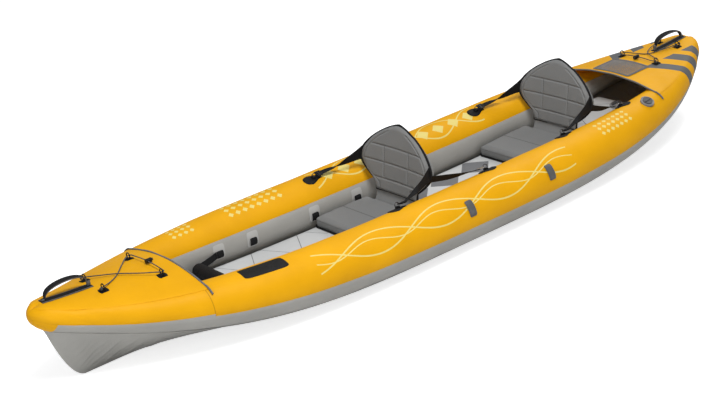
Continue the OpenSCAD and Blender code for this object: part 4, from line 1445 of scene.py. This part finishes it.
@dataclass
class Seat:
    """One seat: its base cushion, its backrest with the binding, and its straps."""

    row: Row
    fold_xs: tuple[float, float] = (0.095, -0.950)
    base_len: float = 0.325
    base_w: float = 0.400
    base_t: float = 0.046
    base_gap: float = 0.012
    base_inset: float = 0.006
    crown: float = 0.012
    hem_r: float = 0.022
    back_len: float = 0.325
    back_half_w: float = 0.252
    foot_half_w: float = 0.145
    back_t: float = 0.034
    back_foot: float = 0.024
    back_set: float = 0.007
    back_wrap: float = 0.022
    neck: float = 0.116
    widest: float = 0.464
    top_span: float = 0.55
    lean: float = math.radians(10)
    quilt_in: float = 0.036
    quilt_rows: tuple[float, float, float] = (0.19, 0.43, 0.67)
    quilt_post: float = 0.085
    groove_w: float = 0.0042
    hinge_at: tuple[float, float] = (0.02, 0.004)
    tape_r: float = 0.0052
    strap_half: float = 0.0125
    strap_sag: float = 0.006
    pad_tilt: float = -19.0
    pad_len: float = 0.100
    front_pad: float = 0.235
    back_pads: tuple[float, float] = (-0.300, -0.190)
    ring_z: float = 0.0193

    def name(self, part: str) -> str:
        """Returns a piece's name in this row."""
        return f"{self.row.label}_{part}"

    @property
    def fold_x(self) -> float:
        """Place of the fold line along the hull."""
        return self.fold_xs[self.row.value]

    @property
    def fold_z(self) -> float:
        """Height of the fold line."""
        return LINES.floor_top(self.fold_x + self.base_len / 2) + 0.0006 + self.base_t + self.crown + 0.010

    @property
    def body(self) -> str:
        """The CAD body that the backrest is."""
        return self.name("back")

    def half(self, v: float) -> float:
        """Finds the backrest's half width.

        Args:
            v: share of its height.

        Returns:
            The half width.
        """
        if v < self.widest:
            flare = math.sin(math.pi / 2 * max(0.0, v - self.neck) / (self.widest - self.neck))
            return self.foot_half_w + (self.back_half_w - self.foot_half_w) * flare
        return self.back_half_w * max(0.0, 1 - ((v - self.widest) / self.top_span) ** 1.6) ** 0.78

    def middle(self, y: float | np.ndarray) -> float | np.ndarray:
        """Returns how far the backrest's middle sheet is ahead of the fold line, at a place across."""
        return self.back_set - self.back_t / 2 + self.back_wrap * (abs(y) / self.back_half_w) ** 2

    def back_point(self, y: float, v: float, depth: float) -> Vector:
        """Finds a point on the backrest.

        Args:
            y: place across.
            v: share of the height.
            depth: distance in front of the middle sheet.

        Returns:
            The point in the hull's frame.
        """
        d, z = self.middle(y) + depth, self.back_foot + self.back_len * v
        return Vector((self.fold_x + d * math.cos(self.lean) - z * math.sin(self.lean), y,
                       self.fold_z + d * math.sin(self.lean) + z * math.cos(self.lean)))

    @staticmethod
    def inflate(obj: Piece, cap: float, way: Vector) -> None:
        """Swells a closed pad as cloth under pressure, its sewn outline held.

        Args:
            obj: the pad, a little smaller than it ends.
            cap: how far a point may move.
            way: the direction across the pad.
        """
        Bench.modify(obj, "REMESH", mode="VOXEL", voxel_size=0.005)
        rest = Bench.points(obj)
        Bench.pick(obj)
        bpy.ops.object.modifier_add(type="CLOTH")
        cloth = obj.modifiers[-1]
        cloth.settings.use_pressure = True
        cloth.settings.uniform_pressure_force = 4.0
        cloth.settings.effector_weights.gravity = 0.0
        cloth.settings.quality = 4
        scene = bpy.context.scene
        for step in range(1, 21):
            scene.frame_set(step)
        bpy.ops.object.modifier_apply(modifier=cloth.name)
        scene.frame_set(1)
        axis = np.array(way)
        swell = (Bench.points(obj) - rest) @ axis
        swell = np.clip(swell - swell.mean(), -cap, cap)
        Bench.set_points(obj, rest + np.outer(swell, axis))
        Bench.modify(obj, "SMOOTH", factor=0.5, iterations=4)
        Bench.modify(obj, "SUBSURF", levels=1, render_levels=1)

    @staticmethod
    def mark_seams(obj: Piece, strength: np.ndarray) -> None:
        """Keeps how strongly a seam passes each point, for the cloth's thread."""
        layer = obj.data.attributes.new("seam", "FLOAT", "POINT")
        layer.data.foreach_set("value", strength.astype(np.float32))

    def base_cushion(self) -> None:
        """Builds the seat base cushion."""
        Bench.clear()
        x0 = self.fold_x + self.base_gap
        mid = x0 + self.base_len / 2
        size = (self.base_len - 2 * self.base_inset, self.base_w - 2 * self.base_inset, self.base_t)
        bpy.ops.mesh.primitive_cube_add(size=1.0, location=(0, 0, 0))
        obj = bpy.context.active_object
        obj.name = obj.data.name = self.name("seat_cushion")
        Bench.edit(obj, lambda: bpy.ops.transform.resize(value=size),
                   lambda: bpy.ops.mesh.subdivide(number_cuts=9),
                   lambda: bpy.ops.transform.translate(value=(mid, 0, self.base_t / 2)))
        Bench.modify(obj, "BEVEL", width=0.014, segments=4, limit_method="ANGLE", angle_limit=math.radians(60))
        self.inflate(obj, 0.012, Vector((0, 0, 1)))
        pts = Bench.points(obj)
        along, wide = (pts[:, 0] - mid) / (self.base_len / 2), pts[:, 1] / (self.base_w / 2)
        upper = np.clip((pts[:, 2] - 0.02) / 0.02, 0, 1)
        pts[:, 2] += 0.004 * upper * (1 - along ** 2) * (1 - wide ** 2)
        seam_x = np.abs(pts[:, 0] - (x0 + 0.52 * self.base_len))
        rim = np.abs(pts[:, 2] - 0.036) + 10.0 * (upper >= 1)
        groove = np.exp(-(seam_x / self.groove_w) ** 2) * (pts[:, 2] > 0.040)
        pts[:, 2] -= 0.0036 * groove
        pts[:, 2] = np.clip(pts[:, 2], 0.0, self.base_t + self.crown)
        pts[:, 2] += np.array([LINES.floor_top(x) for x in pts[:, 0]]) + 0.0008
        Bench.set_points(obj, pts)
        self.mark_seams(obj, np.maximum(groove, np.exp(-(rim / 0.0016) ** 2)))
        Bench.smooth(obj, 80)
        Bench.dress(obj, "seat_cloth", "seat_fabric", self.name("seat_base"))

    def base_hem(self) -> None:
        """Builds the black tape round the foot of the seat base."""
        x0, r = self.fold_x + self.base_gap, self.hem_r
        x1, w = x0 + self.base_len, self.base_w / 2
        path = []
        for cx, cy, start in ((x1 - r, w - r, 0), (x0 + r, w - r, 90), (x0 + r, r - w, 180), (x1 - r, r - w, 270)):
            for k in range(7):
                a = math.radians(start + 15 * k)
                path.append((cx + (r + 0.0015) * math.cos(a), cy + (r + 0.0015) * math.sin(a)))
        path.append(path[0])

        def edges(t: float) -> tuple[Vector, Vector]:
            """Finds the tape's two edges."""
            x, y = path[round(t * (len(path) - 1))]
            z = LINES.floor_top(x) + 0.001
            return Vector((x, y, z)), Vector((x, y, z + 0.011))

        hem = Bench.ribbon(self.name("seat_hem"), edges, len(path) - 1, 0.0015)
        Bench.dress(hem, "black_binding", "black_binding")

    def backrest(self) -> None:
        """Builds the backrest cushion with its quilted front."""
        def place(u: float, v: float) -> Vector:
            """Finds a point on the middle sheet."""
            return self.back_point((2 * u - 1) * max(0.004, self.half(v) + 0.0005), v, 0.0)

        c, s = math.cos(self.lean), math.sin(self.lean)
        obj = Bench.sheet(self.name("backrest_cushion"), 24, 24, place, wrap=True)
        Bench.thicken(obj, 0.018, 0.0)
        Bench.edit(obj, lambda: bpy.ops.mesh.normals_make_consistent(inside=False))
        self.inflate(obj, 0.009, Vector((c, 0, s)))
        pts = Bench.points(obj)
        dx, y, dz = pts[:, 0] - self.fold_x, pts[:, 1], pts[:, 2] - self.fold_z
        v = (dz * c - dx * s - self.back_foot) / self.back_len
        depth = dx * c + dz * s - self.middle(y)
        front = np.clip((depth - 0.001) / 0.004, 0, 1)
        inner = np.array([self.half(float(t)) for t in np.clip(v, 0, 1.005)]) - self.quilt_in
        side = np.abs(np.abs(y) - inner)
        ring = np.where((v > 0.03) & (v < 1.02 - self.quilt_in / self.back_len),
                        side * np.clip(0.55 + 0.6 * (0.95 - v), 0.5, 1), 1.0)
        inside = np.abs(y) < inner
        rows = np.min(np.abs(v[:, None] - np.array(self.quilt_rows)) * self.back_len, axis=1)
        rows = np.where(inside, rows, 1.0)
        low, high = self.quilt_rows[0], self.quilt_rows[-1]
        posts = np.where(inside & (v > low) & (v < high), np.abs(np.abs(y) - self.quilt_post), 1.0)
        near = np.minimum(np.minimum(ring, rows), posts)
        groove = np.exp(-(near / self.groove_w) ** 2) * front
        pts[:, 0] -= self.groove_w * groove * c
        pts[:, 2] -= self.groove_w * groove * s
        Bench.set_points(obj, pts)
        self.mark_seams(obj, np.exp(-(near / 0.0017) ** 2) * front)
        Bench.smooth(obj, 80)
        Bench.dress(obj, "seat_cloth", "seat_fabric", self.name("backrest"), body=self.body)

    def hinge(self) -> None:
        """Builds the cloth flap that joins the backrest's foot to the seat base."""
        x0, half = self.fold_x + 0.018, self.foot_half_w - 0.006
        low = Vector((x0, 0, LINES.floor_top(x0) + 0.036))

        def place(u: float, v: float) -> Vector:
            """Finds a point on the flap."""
            y = half * (2 * u - 1)
            p = Vector((low.x, y, low.z)).lerp(self.back_point(y, *self.hinge_at), v)
            p.x -= 0.006 * math.sin(math.pi * v)
            return p

        obj = Bench.sheet(self.name("seat_hinge"), 40, 12, place)
        cut = Bench.cut(obj, place)
        Bench.smooth(Bench.thicken(obj, 0.0018, 0.0), 60)
        self.mark_seams(obj, np.zeros(len(obj.data.vertices)))
        Bench.dress(obj, "seat_cloth", "seat_fabric", body="")
        self.body
        tuple(self.back_point(0.0, *self.hinge_at))
        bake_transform(obj)
        self.name("seat_cushion")
        self.name("backrest_cushion")

    def binding(self) -> None:
        """Builds the black binding round the backrest."""
        shares = [1.0139 * math.sin(math.pi / 2 * k / 80) for k in range(81)]
        right = [(self.half(v), v) for v in shares]
        outline = right + [(-y, v) for y, v in reversed(right[:-1])]
        path = [self.back_point(y, v, 0.002 if v > 0.9 else 0.0) for y, v in outline]
        wide = self.foot_half_w
        foot = [self.back_point(-wide + 2 * wide * k / 20, -0.004, 0.0) for k in range(1, 20)]
        obj = Bench.rod(self.name("backrest_tape"), path + foot + [path[0]], lambda s: self.tape_r, 10)
        Bench.dress(Bench.smooth(obj, 60), "black_binding", "black_binding", self.name("backrest_binding"),
                    body=self.body)

    def pad_x(self, forward: bool) -> float:
        """Returns the place along the hull of the front or back strap's pad."""
        return self.fold_x + (self.front_pad if forward else self.back_pads[self.row.value])

    def strap_name(self, forward: bool, part: str) -> str:
        """Returns the name of a port strap or pad."""
        return self.name(f"port_{'fore' if forward else 'aft'}_{part}")

    def straps(self, forward: bool) -> None:
        """Builds both straps from their buckle or hook to the wing on the backrest's side.

        Args:
            forward: build the front straps, not the back ones.
        """
        start, v0, v1 = (-0.0452, 0.37, 0.60) if forward else (0.0412 + 0.0015 * self.row.value, 0.36, 0.46)
        half = self.strap_half
        a0, a1 = (LINES.local(self.pad_x(forward), self.pad_tilt, (start, d * half, self.ring_z)) for d in (1, -1))
        root0, root1 = (self.back_point(self.half(v) + 0.0055, v, -0.001) for v in (v0, v1))
        if not forward:
            root0, root1 = root1, root0
        foot, root = (a0 + a1) / 2, (root0 + root1) / 2

        def edges(t: float) -> tuple[Vector, Vector]:
            """Finds the strap's two edges."""
            wing = t ** (3.2 if forward else 1.6)
            mid = foot.lerp(root, t) + Vector((0, 0, -self.strap_sag * math.sin(math.pi * t)))
            way = (a1 - a0).normalized().lerp((root1 - root0).normalized(), ease(t, 0.0, 0.75)).normalized()
            reach = half + ((root1 - root0).length / 2 - half) * wing
            return mid - way * reach, mid + way * reach

        port = Bench.ribbon(self.strap_name(forward, "strap"), edges, 40, 0.0022, rows=6)
        Bench.tie(port, self.name("seat_straps"), self.body, foot, root)

    def pads(self, forward: bool) -> None:
        """Builds a teardrop pad on each tube, with the webbing loop that holds its ring.

        Args:
            forward: build the front pads, not the back ones.
        """
        x, way, length = self.pad_x(forward), 1 if forward else -1, self.pad_len

        def width(t: float) -> float:
            """Returns the pad's half width at a share of its length."""
            w = 0.013 + 0.019 * ease(t, 0.1, 0.65)
            if t > 0.62:
                w *= math.sqrt(max(0.0, 1 - ((t - 0.62) / 0.38) ** 2))
            return w * math.sqrt(min(1.0, 0.25 + t / 0.06)) if t < 0.06 else w

        def place(u: float, v: float) -> Vector:
            """Finds a point on the domed pad."""
            q = 2 * v - 1
            px = x + way * (u - 0.45) * length
            ends = math.sqrt(max(0.05, min(1.0, 8 * u, 10 * (1 - u))))
            dome = 0.0012 + 0.0042 * math.sqrt(max(0.0, 1 - q ** 4)) * ends
            return LINES.tube(px, self.pad_tilt + math.degrees(width(u) * q / LINES.radius(px)), dome)

        def loop(t: float) -> tuple[Vector, Vector]:
            """Finds the loop's two edges."""
            a = math.pi * (1.15 * t - 0.075)
            q = (-0.0075 * math.cos(a), 0.0062 + 0.0075 * math.sin(a))
            return tuple(LINES.local(x, self.pad_tilt, (q[0], d * 0.010, q[1])) for d in (-1, 1))

        name = self.strap_name(forward, "pad")
        pad = Bench.sheet(name, 36, 16, place, lambda u, v: (u * length, v), flip=way < 0, wrap=True)
        Bench.smooth(Bench.thicken(pad, 0.0018), 50)
        keeper = Bench.ribbon(name + "_loop", loop, 18, 0.0018)
        for _, obj in Bench.pair(Bench.join(name, [pad, keeper])):
            Bench.dress(obj, "pad_rubber", "black_webbing", "strap_pads")

    def build(self) -> None:
        """Builds the whole seat."""
        self.base_cushion()
        self.base_hem()
        self.backrest()
        self.hinge()
        self.binding()
        for forward in (True, False):
            self.straps(forward)
            self.pads(forward)


@dataclass
class FootBrace:
    """The padded foot bar and the two straps that set it."""

    x: float = 1.120
    length: float = 0.290
    radius: float = 0.034
    gather_from: float = 0.10
    wall_at: tuple[float, float, float] = (0.9796, -96.0, 0.0055)
    strap_half: float = 0.016

    @property
    def z(self) -> float:
        """Height of the bar's axis."""
        return LINES.floor_top(self.x) + 0.002 + self.radius

    def bar(self) -> None:
        """Builds the fabric sleeve over the foam bar, gathered at its ends."""
        steps = 60
        path = [Vector((self.x, self.length * (k / steps - 0.5), self.z)) for k in range(steps + 1)]

        def swell(s: float) -> float:
            """Returns the sleeve's radius at a share of its length."""
            edge = min(s, 1 - s) * self.length
            return (self.radius - 0.001) * (0.35 + 0.65 * math.sqrt(1 - (1 - min(1.0, edge / 0.014)) ** 2))

        bar = Bench.rod("foot_bar_sleeve", path, swell, 48)
        pts = Bench.points(bar)
        angle = np.arctan2(pts[:, 2] - self.z, pts[:, 0] - self.x)
        gather = np.clip((np.abs(pts[:, 1]) - self.gather_from) / 0.04, 0, 1)
        shrink = 1 - 0.035 * gather * (0.5 + 0.5 * np.sin(18 * angle))
        pts[:, 0] = self.x + (pts[:, 0] - self.x) * shrink
        pts[:, 2] = self.z + (pts[:, 2] - self.z) * shrink
        Bench.set_points(bar, pts)
        Bench.smooth(bar, 60)
        Bench.dress(bar, "black_webbing", "foot_foam", "foot_bar", body="foot_brace")

    def straps(self) -> None:
        """Builds the two straps from the wall loops to the bar's ends."""
        wall = LINES.tube(*self.wall_at)
        end = Vector((self.x + self.radius / 2, self.length / 2 + 0.0021, self.z))
        up = Vector((0, 0, self.strap_half))

        def edges(t: float) -> tuple[Vector, Vector]:
            """Finds the strap's two edges."""
            mid = wall.lerp(end, t) + Vector((0, 0, -0.004 * math.sin(math.pi * t)))
            return mid - up, mid + up

        Bench.tie(Bench.ribbon("port_foot_strap", edges, 30, 0.0024), "foot_straps", "foot_brace", wall, end)

    def build(self) -> None:
        """Builds the bar and its straps."""
        self.bar()
        self.straps()


@dataclass
class Hardware:
    """The rigid CAD nodes that stay in view, with their finishes."""

    plan: dict[str, tuple[str, ...]] = field(default_factory=lambda: {
        "black_plastic": ("bow_deck_rings", "stern_deck_rings", "bow_cord_lock", "stern_cord_lock",
                          "strap_buckles", "bow_form", "stern_form"),
        "button_grey": ("bow_lock_button", "stern_lock_button"),
        "valve_grey": ("port_valve_body", "starboard_valve_body", "floor_valve_body",
                       "port_valve_plunger", "starboard_valve_plunger", "floor_valve_plunger"),
        "cap_grey": ("port_valve_cap", "starboard_valve_cap", "floor_valve_cap"),
        "bright_steel": ("snap_hooks", "front_port_gate", "front_starboard_gate", "rear_port_gate",
                         "rear_starboard_gate"),
        "dark_steel": ("strap_rings",),
        "bladder_grey": ("port_air_tube", "starboard_air_tube")})

    def build(self) -> None:
        """Gives each node its finish."""
        for finish, nodes in self.plan.items():
            for name in nodes:
                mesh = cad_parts[name].data
                mesh.materials.clear()
                mesh.materials.append(Finishes.built[finish])


@dataclass
class Studio:
    """The camera at the photograph's angle, the pale floor and the soft lights."""

    position: tuple[float, float, float] = (4.412, 5.551, 3.087)
    azimuth: float = -126.502
    elevation: float = -22.512
    roll: float = -7.369
    lens: float = 82.1
    sensor: float = 36.0
    world_light: float = 0.30
    floor_glow: float = 0.72

    def camera(self) -> None:
        """Makes the camera."""
        az, el, ro = (math.radians(a) for a in (self.azimuth, self.elevation, self.roll))
        look = Vector((math.cos(el) * math.cos(az), math.cos(el) * math.sin(az), math.sin(el)))
        right = look.cross(Vector((0, 0, 1))).normalized()
        up = right.cross(look)
        x = right * math.cos(ro) + up * math.sin(ro)
        y = up * math.cos(ro) - right * math.sin(ro)
        data = bpy.data.cameras.new("camera")
        data.lens, data.sensor_width, data.clip_end = self.lens, self.sensor, 200.0
        cam = bpy.data.objects.new("camera", data)
        bpy.context.scene.collection.objects.link(cam)
        cam.matrix_world = Matrix.Translation(self.position) @ Matrix((x, y, -look)).transposed().to_4x4()
        bpy.context.scene.camera = cam

    def world(self) -> None:
        """Makes the world's soft light, which only the camera sees as white."""
        scene = bpy.context.scene
        scene.view_settings.view_transform = "Standard"
        scene.world = scene.world or bpy.data.worlds.new("world")
        scene.world.use_nodes = True
        tree = scene.world.node_tree
        tree.nodes.clear()
        rays, soft, white, blend, out = (tree.nodes.new("ShaderNode" + kind) for kind in (
            "LightPath", "Background", "Background", "MixShader", "OutputWorld"))
        soft.inputs[0].default_value, soft.inputs[1].default_value = tint(0.95, 0.97, 1.0), self.world_light
        white.inputs[0].default_value, white.inputs[1].default_value = tint(1.0, 1.0, 1.0), 1.0
        tree.links.new(rays.outputs["Is Camera Ray"], blend.inputs[0])
        tree.links.new(soft.outputs[0], blend.inputs[1])
        tree.links.new(white.outputs[0], blend.inputs[2])
        tree.links.new(blend.outputs[0], out.inputs[0])

    def lamps(self) -> None:
        """Makes the lamps: name, place, aim, size and power of each."""
        for name, place, aim, size, power in (
                ("key", (1.2, 2.6, 5.6), (0, 0, 0.2), 2.2, 275.0),
                ("fill", (5.4, 2.2, 1.3), (1.3, 0, 0.2), 3.0, 60.0),
                ("back", (-4.5, -1.5, 4.0), (-0.3, 0, 0.2), 3.0, 90.0)):
            data = bpy.data.lights.new(name, "AREA")
            data.size, data.energy = size, power
            lamp = bpy.data.objects.new(name, data)
            bpy.context.scene.collection.objects.link(lamp)
            turn = (Vector(aim) - Vector(place)).to_track_quat("-Z", "Y").to_matrix().to_4x4()
            lamp.matrix_world = Matrix.Translation(place) @ turn

    def ground(self) -> None:
        """Makes the pale floor."""
        Bench.clear()
        bpy.ops.mesh.primitive_plane_add(size=120.0, location=(0, 0, -0.0006))
        plane = bpy.context.active_object
        plane.name = "studio_floor"
        s = Shader("studio_floor")
        s.colour(tint(0.7, 0.7, 0.7)).set("Roughness", 0.9).set("Emission Color", tint(1.0, 1.0, 1.0))
        rays = s.add("LightPath", {}, "Is Camera Ray")
        s.set("Emission Strength", s.times(rays, self.floor_glow))
        plane.data.materials.append(s.material)

    def build(self) -> None:
        """Makes the whole studio."""
        self.camera()
        self.world()
        self.lamps()
        self.ground()


def main() -> None:
    """Builds the studio and every piece, in order."""
    logging.basicConfig(level=logging.INFO, format="%(message)s")
    Studio().build()
    Finishes.build()
    for end in End:
        DeckGear(end).build()
    Hull().build()
    for row in Row:
        Seat(row).build()
    FootBrace().build()
    Hardware().build()


if __name__ == "__main__":
    main()
